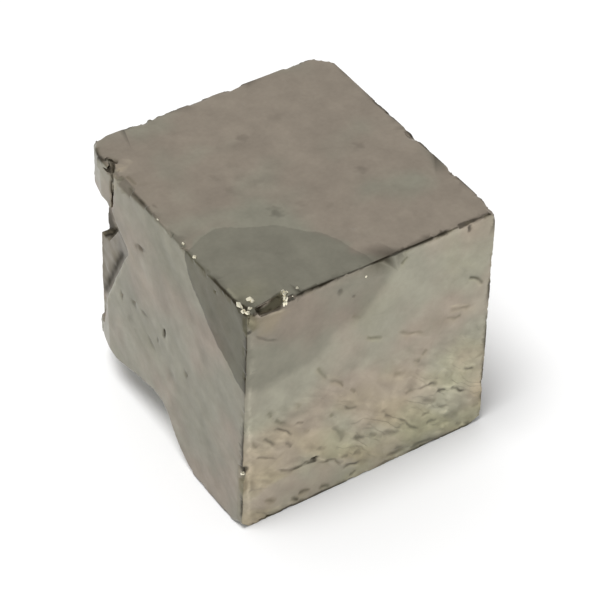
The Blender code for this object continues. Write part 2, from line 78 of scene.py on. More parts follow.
# %% Place the camera
CAMERA_TURN = math.radians(33.62)
CAMERA_DOWN = math.radians(41.68)
CAMERA_ROLL = math.radians(0.85)
CAMERA_FAR = 276.6  # mm from the aim point
AIM = Vector((1.03, -1.76, 13.75))  # mm
SENSOR = 36.0
LENS = 153.47

look = Vector((
    math.cos(CAMERA_DOWN) * math.sin(CAMERA_TURN),
    math.cos(CAMERA_DOWN) * math.cos(CAMERA_TURN),
    -math.sin(CAMERA_DOWN),
))
level = Vector((math.cos(CAMERA_TURN), -math.sin(CAMERA_TURN), 0))
across = Matrix.Rotation(-CAMERA_ROLL, 3, look) @ level
upright = across.cross(look)
eye = (AIM - look * CAMERA_FAR) * MM

lens = bpy.data.cameras.new("stone_camera")
lens.lens = LENS
lens.sensor_width = SENSOR
lens.clip_start = 0.01
camera = bpy.data.objects.new("stone_camera", lens)
turn = Matrix((across, upright, -look)).transposed().to_4x4()
camera.matrix_world = Matrix.Translation(eye) @ turn
bpy.context.scene.collection.objects.link(camera)
bpy.context.scene.camera = camera
print("camera at, mm:", [round(v / MM, 1) for v in eye])

# %% [markdown]
# ## Floor and light
# Metal shows what is around it more than it shows its own colour. The two side faces mirror the pale
# floor, and the top mirrors the far side of the room. So the room matters as much as the lamp: it could
# be a picture of a studio, but a plain grey that darkens in front of the stone does the same work. One
# broad lamp, high and a little to the left, makes the floor bright and lays a soft shadow to the right.
# It is hidden from the metal, where it would leave a hard white spot.

# %% Lay the floor
FLOOR_SIDE = 4.0  # metres
FLOOR_PALE = 0.86


def object_from(bm, name):
    """Turns finished bmesh work into an object in the scene."""
    mesh = bpy.data.meshes.new(name)
    bm.to_mesh(mesh)
    bm.free()
    made = bpy.data.objects.new(name, mesh)
    bpy.context.scene.collection.objects.link(made)
    return made


def new_material(name):
    """An empty node material: (material, its nodes, its links, its Principled shader)."""
    material = bpy.data.materials.new(name)
    material.use_nodes = True
    tree = material.node_tree
    return material, tree.nodes, tree.links, tree.nodes["Principled BSDF"]


bm = bmesh.new()
bmesh.ops.create_grid(bm, x_segments=1, y_segments=1, size=FLOOR_SIDE / 2)
floor = object_from(bm, "studio_floor")
paint, nodes, links, shader = new_material("pale_floor_paint")
shader.inputs["Base Color"].default_value = (FLOOR_PALE, FLOOR_PALE, FLOOR_PALE, 1)
shader.inputs["Roughness"].default_value = 0.9
shader.inputs["Specular IOR Level"].default_value = 0.0
floor.data.materials.append(paint)
print("floor, metres a side:", FLOOR_SIDE)

# %% Light the room
ROOM_PALE = 0.77
ROOM_DARK = 0.25
DARK_SIDE = Vector((0.40, -0.68, 0.62))  # high in front of the stone, on the viewer's right
FADE_START, FADE_END = 0.35, 0.95  # how squarely a direction faces the dark side
KEY_FROM = Vector((-0.24, -0.02, 0.97))
KEY_POWER = 2.3
KEY_WIDTH = math.radians(25)

room = bpy.data.worlds.new("studio_room")
bpy.context.scene.world = room
room.use_nodes = True
nodes, links = room.node_tree.nodes, room.node_tree.links
direction = nodes.new("ShaderNodeTexCoord")
squareness = nodes.new("ShaderNodeVectorMath")
squareness.operation = "DOT_PRODUCT"
squareness.inputs[1].default_value = DARK_SIDE.normalized()
greyness = nodes.new("ShaderNodeMapRange")
greyness.interpolation_type = "SMOOTHSTEP"
greyness.inputs["From Min"].default_value = FADE_START
greyness.inputs["From Max"].default_value = FADE_END
greyness.inputs["To Min"].default_value = ROOM_PALE
greyness.inputs["To Max"].default_value = ROOM_DARK
links.new(direction.outputs["Generated"], squareness.inputs[0])
links.new(squareness.outputs["Value"], greyness.inputs["Value"])
links.new(greyness.outputs["Result"], nodes["Background"].inputs["Strength"])
nodes["Background"].inputs["Color"].default_value = (1.0, 1.0, 1.0, 1)

key = bpy.data.lights.new("broad_lamp", "SUN")
key.energy = KEY_POWER
key.angle = KEY_WIDTH
key_lamp = bpy.data.objects.new("broad_lamp", key)
key_lamp.rotation_euler = KEY_FROM.to_track_quat("Z", "Y").to_euler()
key_lamp.visible_glossy = False
bpy.context.scene.collection.objects.link(key_lamp)
bpy.context.scene.view_settings.view_transform = "Standard"
print("room", ROOM_PALE, "to", ROOM_DARK, "- lamp", KEY_POWER)

# %% [markdown]
# ## A finer surface
# The plain solid has a few thousand triangles, too few to carry ripples. Subdividing it would keep its long
# thin triangles. The Remesh modifier in voxel mode rebuilds the whole surface from small even squares
# instead, and it also takes the knife-sharp look off every edge. Smaller squares keep more, and cost more.

# %% Rebuild the surface from small squares
SQUARE = 0.1  # mm
SAME_PLACE = 0.001  # mm: corners closer than this are one


def applied(item):
    """Makes what an object's modifiers show into its own mesh."""
    graph = bpy.context.evaluated_depsgraph_get()
    mesh = bpy.data.meshes.new_from_object(item.evaluated_get(graph), depsgraph=graph)
    item.modifiers.clear()
    item.data = mesh
    return mesh


def sealed_copy(source, name):
    """A copy of a solid whose triangles share their corners again."""
    bm = bmesh.new()
    bm.from_mesh(source.data)
    bmesh.ops.remove_doubles(bm, verts=bm.verts, dist=SAME_PLACE * MM)
    return object_from(bm, name)


def rebuilt(item, rounds):
    """Rebuilds an object from small squares and smooths it a few times."""
    squares = item.modifiers.new("small squares", "REMESH")
    squares.mode = "VOXEL"
    squares.voxel_size = SQUARE * MM
    soften = item.modifiers.new("soften", "SMOOTH")
    soften.factor = 0.5
    soften.iterations = rounds
    applied(item)


stone = sealed_copy(block, "pyrite_crystal")
rebuilt(stone, 2)
print("points in the fine surface:", len(stone.data.vertices))

# %% [markdown]
# ## Reading a face like a page
# Every mark sits on one face of the cube, so it helps to give each face its own page: "across" runs to the
# right, "down" runs down, and "deep" goes into the stone, all in millimetres from the face's upper left
# corner. NumPy holds all the points in one table and turns them into page places at once, which is
# hundreds of times faster than a Python loop.

# %% Pages for the faces
def read_points(mesh):
    """All the points of a mesh in mm, and the directions they face, as two tables."""
    count = len(mesh.vertices)
    points = np.empty(count * 3, np.float32)
    facing = np.empty(count * 3, np.float32)
    mesh.vertices.foreach_get("co", points)
    mesh.vertex_normals.foreach_get("vector", facing)
    return points.reshape(-1, 3).astype(float) / MM, facing.reshape(-1, 3).astype(float)


def write_points(mesh, points):
    """Puts a table of points in mm back into a mesh."""
    mesh.vertices.foreach_set("co", (points * MM).astype(np.float32).ravel())
    mesh.update()


def smooth_step(low, high, value):
    """0 under low, 1 over high, and an easy curve in between."""
    t = np.clip((value - low) / (high - low), 0, 1)
    return t * t * (3 - 2 * t)


class Page:
    """One face of the block, with its upper left corner and its directions across and down."""

    def __init__(self, corner, across, down):
        self.corner = np.array(corner, float)
        self.across = np.array(across, float) / np.linalg.norm(across)
        self.down = np.array(down, float) / np.linalg.norm(down)
        self.out = np.cross(self.down, self.across)

    def read(self, points):
        """(across, down, deep) of each point."""
        away = points - self.corner
        return away @ self.across, away @ self.down, -(away @ self.out)


PAGES = {
    "front": Page((LEFT, FRONT, HEIGHT), (1, 0, 0), (0, 0, -1)),
    "left": Page((LEFT, BACK, HEIGHT), (0, -1, 0), (-LEFT_LEAN, 0, -HEIGHT)),
    "top": Page((LEFT, BACK, HEIGHT), (1, 0, 0), (0, -1, 0)),
    "right": Page((RIGHT, FRONT, HEIGHT), (RIGHT_SKEW, BACK - FRONT, 0), (0, 0, -1)),
    "back": Page((RIGHT + RIGHT_SKEW, BACK, HEIGHT), (-1, 0, 0), (0, 0, -1)),
    "under": Page((LEFT - LEFT_LEAN, FRONT, 0), (1, 0, 0), (0, 1, 0)),
}


def all_depths(points):
    """How deep each point lies under the nearest of the six planes, and under the second nearest."""
    deep = np.stack([page.read(points)[2] for page in PAGES.values()], axis=1)
    ranked = np.sort(deep, axis=1)
    return ranked[:, 0], ranked[:, 1]


points, facing = read_points(stone.data)
from_face, from_edge = all_depths(points)
print("deepest place, mm:", round(float(from_face.max()), 1))

# %% [markdown]
# ## A clean sheet
# The plain solid marks the weathered places with shallow straight-edged steps, four-sided pits and plain
# notches along the edges. They are right for size, but too hard for stone. What lies only a little under
# a plane is pressed out flat again, and the real texture is drawn on the clean sheet. Near an edge each
# point goes to the plane that is closer. The press leaves folds behind, so the surface is rebuilt once
# more from small squares.

# %% Press the shallow steps flat
SHALLOW = 0.65  # mm
EDGE_CHIPS = 1.7  # mm
PRESS_FADE = 0.2  # mm over which the press lets go
CHIP_START, CHIP_END = 0.7, 5.6  # mm along the top edge of the front: this chip stays
CHIP_TALL = 1.6
EDGE_END = 29.5  # mm along the same edge, short of the right corner
REAR_CHIPS = (2.4, 7.0)  # mm down the left edge of the top


def press_flat(name, where, limit=SHALLOW):
    """Brings the points of a face that lie a little under its plane out to the plane."""
    page = PAGES[name]
    depth = page.read(points)[2]
    lift = depth * smooth_step(limit, limit - PRESS_FADE, depth) * where
    points[:] += page.out * lift[:, None]
    return int((lift > 0.05).sum())


def press_edge(name, other, where):
    """Fills the small chips along the edge between two faces."""
    first, second = PAGES[name].read(points)[2], PAGES[other].read(points)[2]
    zone = where & (first < EDGE_CHIPS - 0.1) & (second < EDGE_CHIPS - 0.1)
    filled = press_flat(name, zone & (first <= second), EDGE_CHIPS)
    return filled + press_flat(other, zone & (second < first), EDGE_CHIPS)


across, down, depth = PAGES["front"].read(points)
chipped = (across > CHIP_START) & (across < CHIP_END) & (down < CHIP_TALL)
along = (across > CHIP_END) & (across < EDGE_END)
print("pressed along the front edge:", press_edge("top", "front", along))
print("pressed on the front:", press_flat("front", ~chipped & ((down > 1.5) | ~along)))
across, down, depth = PAGES["top"].read(points)
rear_chips = (down > REAR_CHIPS[0]) & (down < REAR_CHIPS[1])
print("pressed at the rear corner:", press_edge("top", "left", rear_chips))
print("pressed on the top:", press_flat("top", (facing[:, 2] > 0.5) & (from_edge > 1.0)))
for name in ("right", "back"):
    turned_to_it = (facing @ PAGES[name].out > 0.3) & (from_edge > 0.5)
    print("pressed on the", name + ":", press_flat(name, turned_to_it))
write_points(stone.data, points)
rebuilt(stone, 3)
points, facing = read_points(stone.data)
from_face, from_edge = all_depths(points)
print("points on the clean sheet:", len(points))

# %% [markdown]
# ## Noise
# Nature repeats nothing, and still everything in it is related to its neighbours. Gradient noise gives
# numbers of that kind: they drift up and down over a chosen distance. Blender has noise of its own for
# single points; this short version works on the whole table, and its seed makes it the same every time.

# %% A drifting number for every point
NOISE_SEED = 7
SLOPE_COUNT = 4096  # a power of two, so that "&" can fold any number into it
SCATTER = (73856093, 19349663, 83492791)  # large primes that mix three counts into one
SEED_SHIFT = 17.31  # how far apart two seeds read
GAIN = 1.7  # brings the sum up to about 1
dice = np.random.default_rng(NOISE_SEED)
SLOPES = dice.normal(size=(SLOPE_COUNT, 3))
SLOPES /= np.linalg.norm(SLOPES, axis=1, keepdims=True)


def drift(places, size, seed=0):
    """Numbers from about -1 to 1 that change smoothly over a distance of size."""
    places = places / size + seed * SEED_SHIFT
    whole = np.floor(places).astype(np.int64)
    part = places - whole
    ease = part * part * part * (part * (part * 6 - 15) + 10)
    total = np.zeros(len(places))
    for corner in product((0, 1), repeat=3):
        at = whole + corner
        mixed = at * SCATTER
        pick = (mixed[:, 0] ^ mixed[:, 1] ^ mixed[:, 2]) & (SLOPE_COUNT - 1)
        weight = np.where(corner, ease, 1 - ease).prod(axis=1)
        total += weight * (SLOPES[pick] * (part - corner)).sum(axis=1)
    return total * GAIN


def rough(places, size, seed=0, layers=3):
    """Several drifts on top of each other, each finer and weaker than the one before."""
    return sum(drift(places, size / 2**k, seed + k) / 2**k for k in range(layers))


trial = drift(points[::50], 3.0)
print("drift goes from", round(trial.min(), 2), "to", round(trial.max(), 2))

# %% [markdown]
# ## One height for every point
# All the marks are added up in one list of heights, outwards from the surface in millimetres, and the points
# move only once, at the end. A second list holds what darkens the hollows: grime, and painted shade where
# light can't reach. The other way would be to sculpt with Boolean cuts, one for each mark, which is slow
# and leaves every mark with knife-sharp rims.

# %% Heights and tints
relief = np.zeros(len(points))
# grime in the hollows, and painted shade in the grooves, cracks, pits and the notch
grime_and_shade = np.zeros(len(points))
# the stone's own paler and darker tone, and painted light and shade as well
shade = np.ones(len(points))  # how much paler or darker than its surroundings
warmth = np.zeros(len(points))  # how far towards beige
ON_FACE, OFF_FACE = 0.85, 0.5  # how squarely a point faces its page: wholly on it, and no longer on it
NEAR_PLANE, OFF_PLANE = 0.5, 0.9  # mm under the page: wholly on it, and no longer on it
waver = drift(points, 0.9, 31)  # these two make drawn lines tremble, across and down
flicker = drift(points, 1.1, 32)
pages_read = {}


def on_page(name):
    """(which points, across, down, weight) of one face. The weight fades where the surface turns away."""
    if name not in pages_read:
        page = PAGES[name]
        across, down, depth = page.read(points)
        weight = smooth_step(OFF_FACE, ON_FACE, facing @ page.out) * smooth_step(OFF_PLANE, NEAR_PLANE, depth)
        who = np.flatnonzero(weight > 0)
        pages_read[name] = who, across[who], down[who], weight[who]
    return pages_read[name]


def touch(who, amount, deep=0.0, dark=0.0, pale=0.0, warm=0.0):
    """Lowers, darkens with grime and painted shade, brightens or warms some points, each by its amount from 0
    to 1.
    """
    relief[who] -= deep * amount
    grime_and_shade[who] = np.maximum(grime_and_shade[who], dark * amount)
    shade[who] *= 1 + pale * amount
    warmth[who] = np.maximum(warmth[who], warm * amount)


print("points on the front:", len(on_page("front")[0]))

# %% Lines and outlines on a page
def near_line(across, down, line):
    """(distance, side, share of the way along) of a bent line. Side is over 0 to the line's right."""
    best = np.full(len(across), 1e9)
    side = np.zeros(len(across))
    along = np.zeros(len(across))
    lengths = [math.dist(a, b) for a, b in zip(line, line[1:])]
    done = 0.0
    for (ax, ay), (bx, by), length in zip(line, line[1:], lengths):
        ux, uy = (bx - ax) / length, (by - ay) / length
        px, py = across - ax, down - ay
        t = np.clip(px * ux + py * uy, 0, length)
        gap = np.hypot(px - t * ux, py - t * uy)
        near = gap < best
        best[near] = gap[near]
        side[near] = np.sign(ux * py - uy * px)[near]
        along[near] = ((done + t) / sum(lengths))[near]
        done += length
    return best, side, along


def inside(across, down, outline):
    """How far each place lies inside a closed outline, and under 0 outside it."""
    ring = [*outline, outline[0]]
    gap = near_line(across, down, ring)[0]
    within = np.zeros(len(across), bool)
    for (ax, ay), (bx, by) in zip(ring, ring[1:]):
        if ay != by:
            crossing = (ay > down) != (by > down)
            within ^= crossing & (across < ax + (down - ay) * (bx - ax) / (by - ay))
    return np.where(within, gap, -gap)


def tapered(along, ends=0.22):
    """1 in the middle of a line, easing to 0 at both ends."""
    return smooth_step(0, ends, along) * smooth_step(1, 1 - ends, along)


square_gap = inside(np.array([0.5, 3.0]), np.array([0.5, 0.5]), [(0, 0), (1, 0), (1, 1), (0, 1)])
print("a place inside and one outside a small square:", square_gap)

# %% Tools that leave a mark
GROOVE_WOBBLE, STROKE_WOBBLE, PATCH_WOBBLE = 0.18, 0.22, 0.15  # mm by which a drawn line trembles


def groove(name, line, wide, deep, dark=0.8, lip=0.25, pale=0.0):
    """A narrow groove darkened with painted shade, with a slightly raised lower lip that can carry a painted
    highlight.
    """
    who, across, down, weight = on_page(name)
    tremble = GROOVE_WOBBLE * waver[who], GROOVE_WOBBLE * flicker[who]
    gap, side, along = near_line(across + tremble[0], down + tremble[1], line)
    size = tapered(along) * weight * (0.75 + 0.35 * flicker[who])
    touch(who, size * np.exp(-((gap / wide) ** 2)), deep, dark)
    brow = np.exp(-(((gap * side - 1.7 * wide) / (0.9 * wide)) ** 2))
    touch(who, size * brow, -lip * deep, 0.0, pale)


def oval(x, y, wide, tall, turn):
    """How far each place lies from the middle of a turned ellipse, counted in its half widths."""
    c, s = math.cos(math.radians(turn)), math.sin(math.radians(turn))
    return np.hypot((x * c + y * s) / wide, (y * c - x * s) / tall)


def dent(name, at_across, at_down, wide, tall, turn, deep, dark):
    """A hollow with an uneven rim, darkened with grime and painted shade. Wide and tall are whole widths."""
    who, across, down, weight = on_page(name)
    close = np.hypot(across - at_across, down - at_down) < 3 * max(wide, tall)
    wander = 0.55 * drift(points[who[close]], 0.55, 34)
    gap = oval(across[close] - at_across, down[close] - at_down, wide, tall, turn) * 2 + wander
    touch(who[close], smooth_step(1.35, 0.1, gap) * weight[close], deep, dark)


def stroke(name, line, wide, deep=0.0, dark=0.0, pale=0.0, warm=0.0, ends=0.22, loose=1.0):
    """A soft line of height or tint. Loose is how much it trembles."""
    who, across, down, weight = on_page(name)
    corners = np.array(line)
    low, high = corners.min(axis=0) - 4 * wide, corners.max(axis=0) + 4 * wide
    near = (across > low[0]) & (across < high[0]) & (down > low[1]) & (down < high[1])
    who, across, down, weight = who[near], across[near], down[near], weight[near]
    tremble = loose * waver[who], loose * flicker[who]
    moved_across, moved_down = across + STROKE_WOBBLE * tremble[0], down + STROKE_WOBBLE * tremble[1]
    gap, side, along = near_line(moved_across, moved_down, line)
    size = tapered(along, ends) * weight * np.clip(0.9 + 0.5 * tremble[0], 0.3, 1.2)
    touch(who, size * np.exp(-((gap / wide) ** 2)), deep, dark, pale, warm)


def patch(name, outline, soft=0.3, deep=0.0, dark=0.0, pale=0.0, warm=0.0):
    """A closed outline filled with height or tint."""
    who, across, down, weight = on_page(name)
    gap = inside(across + PATCH_WOBBLE * waver[who], down + PATCH_WOBBLE * flicker[who], outline)
    touch(who, weight * smooth_step(-soft, soft, gap), deep, dark, pale, warm)


def smudge(name, at_across, at_down, wide, tall, turn, pale=0.0, warm=0.0, deep=0.0, dark=0.0):
    """A soft round spot or cloud."""
    who, across, down, weight = on_page(name)
    gap = oval(across - at_across, down - at_down, wide, tall, turn)
    touch(who, weight * np.exp(-(gap**2)), deep, dark, pale, warm)


print("the rim of a 4 by 2 oval, in half widths:", oval(2.0, 0.0, 2.0, 1.0, 0))

# %% [markdown]
# ## Slow swells and worn edges
# No face of a natural crystal is flat like glass. A slow swell of a few hundredths of a millimetre is
# enough to make its reflection uneven. The edges have lost tiny nibbles wherever they knocked against
# something. Both come from noise, because no two are alike and there are hundreds of them.

# %% Swells and nibbles
relief += 0.020 * rough(points, 7.0, 1) + 0.006 * drift(points, 1.6, 5)
EDGE_BAND = 0.9  # mm from an edge that knocks have reached
NIBBLE = 0.10  # mm
knocks = smooth_step(0.10, 0.75, rough(points, 1.5, 8)) * smooth_step(EDGE_BAND, 0.1, from_edge)
relief -= NIBBLE * knocks
print("edge points nibbled by over 0.05 mm:", int((NIBBLE * knocks > 0.05).sum()))

# %% [markdown]
# ## The rippled front
# Half way down the front, the growth layers stopped one after another. They end in tiny cliffs that run
# down to the right, closer and rougher towards the foot. A repeating saw-tooth along the direction across
# them gives the cliffs, and noise bends it, so that no two are parallel. The cliffs that stand out
# most are drawn one by one.

# %% Ripples in the growth layers
RIPPLE_TURN = math.radians(38)
RIPPLE_GAP = 1.15  # mm from one cliff to the next
RIPPLE_HIGH = 0.10
RIPPLES_START, RIPPLES_FULL = 12.5, 18.5  # mm down the page
PLATE = (7.0, 27.3, 6.6, 2.3)  # a smooth plate near the foot: its middle, half width and half height

who, across, down, weight = on_page("front")
inward = down * math.cos(RIPPLE_TURN) - across * math.sin(RIPPLE_TURN)
onward = across * math.cos(RIPPLE_TURN) + down * math.sin(RIPPLE_TURN)
stretched = np.stack([onward / 2.4, inward, np.zeros(len(who))], axis=1)
phase = inward / RIPPLE_GAP + 1.3 * rough(stretched, 2.0, 11)
tooth = phase - np.floor(phase)
cliff = 1 - tooth + smooth_step(0.84, 1.0, tooth) * tooth
patchy = smooth_step(-0.2, 0.5, rough(stretched, 2.6, 14))
wavy_down = down + 1.6 * drift(points[who], 4.0, 15)
zone = smooth_step(RIPPLES_START, RIPPLES_FULL, wavy_down) * (0.6 + 0.4 * smooth_step(18, 27, down))
right_rim = 0.45 * smooth_step(22, 27, across) * smooth_step(13, 6, down)
plate_x, plate_y = (across - PLATE[0]) / PLATE[2], (down - PLATE[1]) / PLATE[3]
on_plate = smooth_step(1.15, 0.85, np.hypot(plate_x, plate_y - 0.25 * plate_x))
lively = np.maximum(zone, right_rim) * weight * (1 - 0.9 * on_plate)
touch(who, cliff * patchy * lively, RIPPLE_HIGH)
print("tallest ripple, mm:", round(float(RIPPLE_HIGH * (cliff * patchy * lively).max()), 3))

# %% Painted shade and tints between the ripples
FOOT_PAINTED_LIGHT = 0.13
BLOTCHES = 0.18  # how much paler or darker the uneven film gets
FINE_LINES = 0.035

hatch = np.clip(rough(stretched, 1.2, 17), -1, 1)
touch(who, lively * np.maximum(-hatch, 0), 0.06)
# painted shade: the lowered places and the cliffs are darker, the rest paler
shade[who] *= 1 + lively * (0.11 * hatch - 0.07 * patchy * smooth_step(0.6, 0.95, tooth))
# painted light: the front gets paler towards the foot
shade[who] *= 1 + FOOT_PAINTED_LIGHT * smooth_step(13, 21, down)
beige = smooth_step(-0.35, 0.45, rough(stretched, 4.5, 19))
touch(who, lively * (0.35 + 0.65 * beige), warm=0.95)
blotch = rough(stretched * (1.5, 1, 1), 0.9, 24)
shade[who] *= 1 + BLOTCHES * (0.25 + 0.75 * smooth_step(9, 17, down)) * blotch * (1 - 0.6 * on_plate)
grain_lines = np.stack([onward / 5.0, inward, np.zeros(len(who))], axis=1)
shade[who] *= 1 + FINE_LINES * rough(grain_lines, 1.6, 20)
print("share of the front that is lively:", round(float(lively.mean()), 2))

# %% [markdown]
# ## Strokes on the front
# Noise gives the right kind of ripple but never the same one twice, and the eye knows a stone by its few
# strongest marks. So those are drawn one by one, as a list: an amount, a width and a bent line. Under zero
# the stroke is a groove with painted shade, over zero a ridge with a painted highlight. Every groove gets a
# painted highlight under it, because the two together read as a lit step.

# %% The strongest marks
FRONT_STROKES = [  # (darker or paler, half width, line), mm
    (-0.30, 0.22, ((2.5, 14.4), (2.8, 15.4))), (-0.30, 0.17, ((3.2, 15.9), (3.9, 16.7), (4.7, 17.4))),
    (-0.42, 0.13, ((3.1, 16.9), (4.0, 17.6), (4.9, 18.5), (5.4, 19.4))),
    (0.20, 0.17, ((3.9, 18.0), (4.6, 19.0), (5.2, 19.3))),
    (-0.35, 0.16, ((1.6, 17.9), (2.2, 18.2), (2.9, 18.9), (3.4, 19.8))),
    (0.16, 0.16, ((1.7, 18.6), (2.6, 19.4))), (-0.45, 0.22, ((4.3, 20.2), (4.8, 20.2), (5.4, 21.0))),
    (0.20, 0.17, ((3.5, 19.1), (4.6, 19.5))), (-0.42, 0.16, ((5.8, 17.7), (6.8, 18.4))),
    (-0.20, 0.20, ((6.7, 19.2), (7.7, 19.9))), (-0.20, 0.22, ((5.6, 14.7), (6.3, 15.8))),
    (-0.30, 0.20, ((10.5, 20.6), (11.0, 21.6), (11.6, 22.9), (11.7, 23.9))),
    (-0.30, 0.18, ((11.7, 18.5), (12.6, 19.1), (13.8, 19.2))),
    (-0.38, 0.20, ((13.2, 23.2), (14.0, 24.3), (14.6, 25.0))),
    (0.14, 0.17, ((10.9, 23.7), (12.0, 24.4), (13.0, 24.6))), (-0.30, 0.24, ((13.4, 25.9), (14.4, 27.0))),
    (-0.32, 0.13, ((0.7, 20.2), (1.7, 20.6), (2.7, 21.1), (3.6, 22.0))),
    (0.14, 0.17, ((0.6, 20.7), (2.0, 21.5))),
    (0.20, 0.14, ((4.9, 24.7), (6.2, 24.8), (7.2, 24.9), (8.7, 25.8))),
    (0.28, 0.11, ((7.5, 23.6), (8.2, 23.6), (8.7, 24.2), (9.2, 24.8), (10.4, 25.3))),
    (0.24, 0.13, ((9.1, 25.8), (10.0, 26.0), (10.8, 26.7), (11.7, 27.7))),
    (-0.35, 0.18, ((11.7, 26.1), (12.0, 25.7), (12.7, 26.1))),
    (-0.50, 0.14, ((11.8, 27.4), (12.7, 27.6), (13.4, 27.7), (14.3, 28.0))),
    (0.28, 0.14, ((11.5, 26.8), (12.3, 26.9), (13.0, 27.0))),
    (-0.35, 0.18, ((12.8, 29.0), (13.4, 29.1), (13.8, 28.8))),
    (-0.40, 0.19, ((8.7, 29.2), (9.3, 28.9), (10.4, 29.4))),
    (-0.38, 0.19, ((6.2, 28.5), (7.0, 28.4), (7.9, 28.9))),
    (-0.45, 0.21, ((5.1, 28.9), (5.7, 28.9), (6.6, 29.3))),
    (-0.28, 0.24, ((1.7, 27.3), (2.4, 27.4), (3.6, 27.8))),
    (0.18, 0.16, ((1.8, 28.8), (3.1, 29.0), (4.3, 29.1))), (-0.22, 0.20, ((0.3, 23.1), (0.5, 25.0))),
    (-0.24, 0.24, ((0.3, 17.3), (1.3, 18.9))), (-0.28, 0.24, ((8.7, 22.7), (9.6, 23.5))),
    (-0.20, 0.22, ((10.2, 18.6), (10.5, 19.4))),
    (-0.50, 0.13, ((21.1, 20.8), (22.2, 20.9), (23.0, 20.9), (24.1, 21.4))),
    (0.26, 0.13, ((21.5, 20.4), (22.3, 20.4), (23.2, 20.6))),
    (0.22, 0.13, ((22.7, 21.5), (23.5, 21.6), (24.2, 22.1))),
    (-0.48, 0.14, ((24.0, 22.3), (24.5, 22.7), (25.3, 22.8))),
    (-0.62, 0.14, ((25.6, 22.8), (26.6, 23.3), (27.1, 23.9), (28.0, 24.5))),
    (0.28, 0.14, ((24.5, 21.9), (25.7, 22.6), (26.8, 22.8))),
    (-0.24, 0.16, ((19.6, 20.6), (20.5, 20.6), (21.3, 20.9))), (-0.28, 0.18, ((12.5, 16.1), (13.4, 17.2))),
    (-0.26, 0.20, ((16.8, 21.5), (17.6, 22.9), (18.1, 23.6))),
    (-0.45, 0.14, ((18.5, 23.6), (19.5, 24.6), (20.2, 25.4), (21.0, 26.3), (22.1, 27.2))),
    (0.24, 0.13, ((19.5, 24.0), (20.6, 25.3), (21.6, 26.3))),
    (-0.34, 0.16, ((21.9, 25.1), (22.7, 25.1), (23.2, 24.9))),
    (-0.30, 0.18, ((21.8, 23.2), (22.8, 23.3), (24.1, 24.0))),
    (0.26, 0.14, ((22.4, 24.3), (23.1, 24.1), (24.0, 24.4))),
    (-0.34, 0.16, ((23.8, 24.4), (24.8, 25.2), (25.6, 25.5))),
    (0.30, 0.14, ((24.2, 25.7), (25.1, 26.0), (25.9, 26.1))),
    (-0.34, 0.19, ((22.8, 26.6), (23.4, 26.6), (24.2, 26.9))), (-0.24, 0.39, ((24.9, 26.7), (27.6, 27.5))),
    (0.30, 0.18, ((23.8, 28.7), (24.9, 29.4))), (0.30, 0.18, ((24.7, 28.2), (25.5, 28.2), (26.4, 28.6))),
    (-0.32, 0.18, ((26.8, 28.6), (27.6, 29.3))), (0.38, 0.17, ((27.5, 29.4), (28.2, 29.4), (29.0, 29.4))),
    (-0.36, 0.16, ((28.7, 27.1), (29.4, 27.3), (29.9, 27.3))),
    (-0.32, 0.27, ((16.8, 24.8), (18.0, 25.6), (19.4, 26.1))),
    (0.20, 0.14, ((14.1, 23.6), (15.1, 24.8), (15.5, 25.8))), (-0.32, 0.18, ((15.2, 24.1), (16.3, 25.1))),
    (-0.30, 0.19, ((18.6, 27.9), (19.4, 28.5), (20.8, 29.1))),
    (-0.40, 0.22, ((17.3, 28.7), (18.8, 28.9), (20.5, 29.4))),
    (-0.48, 0.22, ((20.5, 29.4), (21.8, 29.3), (23.2, 29.3), (24.8, 29.7))),
    (0.26, 0.14, ((18.7, 29.5), (20.1, 29.6))), (-0.48, 0.14, ((27.2, 20.5), (28.1, 21.3), (29.0, 21.6))),
    (0.22, 0.13, ((27.6, 20.4), (29.1, 21.2))), (-0.26, 0.22, ((20.4, 16.2), (21.6, 16.7))),
    (-0.32, 0.19, ((21.6, 16.2), (21.9, 15.7), (22.4, 15.4))),
    (-0.28, 0.14, ((14.2, 9.6), (15.3, 10.4), (16.6, 10.9))),
    (-0.32, 0.14, ((18.2, 10.9), (19.7, 11.9), (22.0, 12.7))),
    (-0.26, 0.16, ((24.6, 11.3), (26.1, 11.4), (28.0, 12.1))),
    (-0.30, 0.16, ((24.3, 12.0), (25.7, 12.6), (26.8, 12.6))),
    (0.18, 0.14, ((24.5, 10.8), (26.0, 11.0), (28.1, 11.7))),
    (-0.50, 0.14, ((27.2, 7.4), (28.3, 8.3), (29.3, 9.6))),
    (0.30, 0.18, ((24.8, -0.4), (26.2, -0.3), (27.9, -0.2))), (0.26, 0.16, ((27.4, 1.8), (28.3, 1.1))),
    (-0.30, 0.17, ((18.4, 1.7), (19.3, 1.0))), (-0.22, 0.24, ((12.6, 5.9), (13.8, 7.0))),
    (-0.30, 0.14, ((8.4, 10.9), (8.8, 12.3), (9.6, 13.5))),
    (-0.32, 0.14, ((9.6, 13.5), (10.6, 14.2), (11.4, 14.8), (11.9, 15.8))),
    (0.16, 0.17, ((9.2, 12.7), (10.2, 13.5), (11.2, 14.3))), (-0.16, 0.28, ((18.1, 16.8), (19.7, 17.6))),
    (-0.16, 0.28, ((24.9, 20.5), (26.0, 21.2))),
]
GROOVE_DEPTH = 0.09  # mm for the darkest
RIDGE_HEIGHT = 0.04
SOFTER = 1.45  # times as wide
# painted shade in the grooves, painted highlights on the ridges and under each groove
GROOVE_SHADE, BELOW_HIGHLIGHT, RIDGE_HIGHLIGHT = 1.25, -0.34, 1.0  # for each unit of the amount
for amount, wide, line in FRONT_STROKES:
    wide *= SOFTER
    if amount < 0:
        stroke("front", line, wide, deep=GROOVE_DEPTH * -amount, pale=GROOVE_SHADE * amount, warm=0.6)
        below = [(x - 0.4 * wide, y + 1.5 * wide) for x, y in line]
        stroke("front", below, wide, pale=BELOW_HIGHLIGHT * amount, warm=0.4)
    else:
        stroke("front", line, wide, deep=-RIDGE_HEIGHT * amount, pale=RIDGE_HIGHLIGHT * amount, warm=0.4)
print("strokes on the front:", len(FRONT_STROKES))

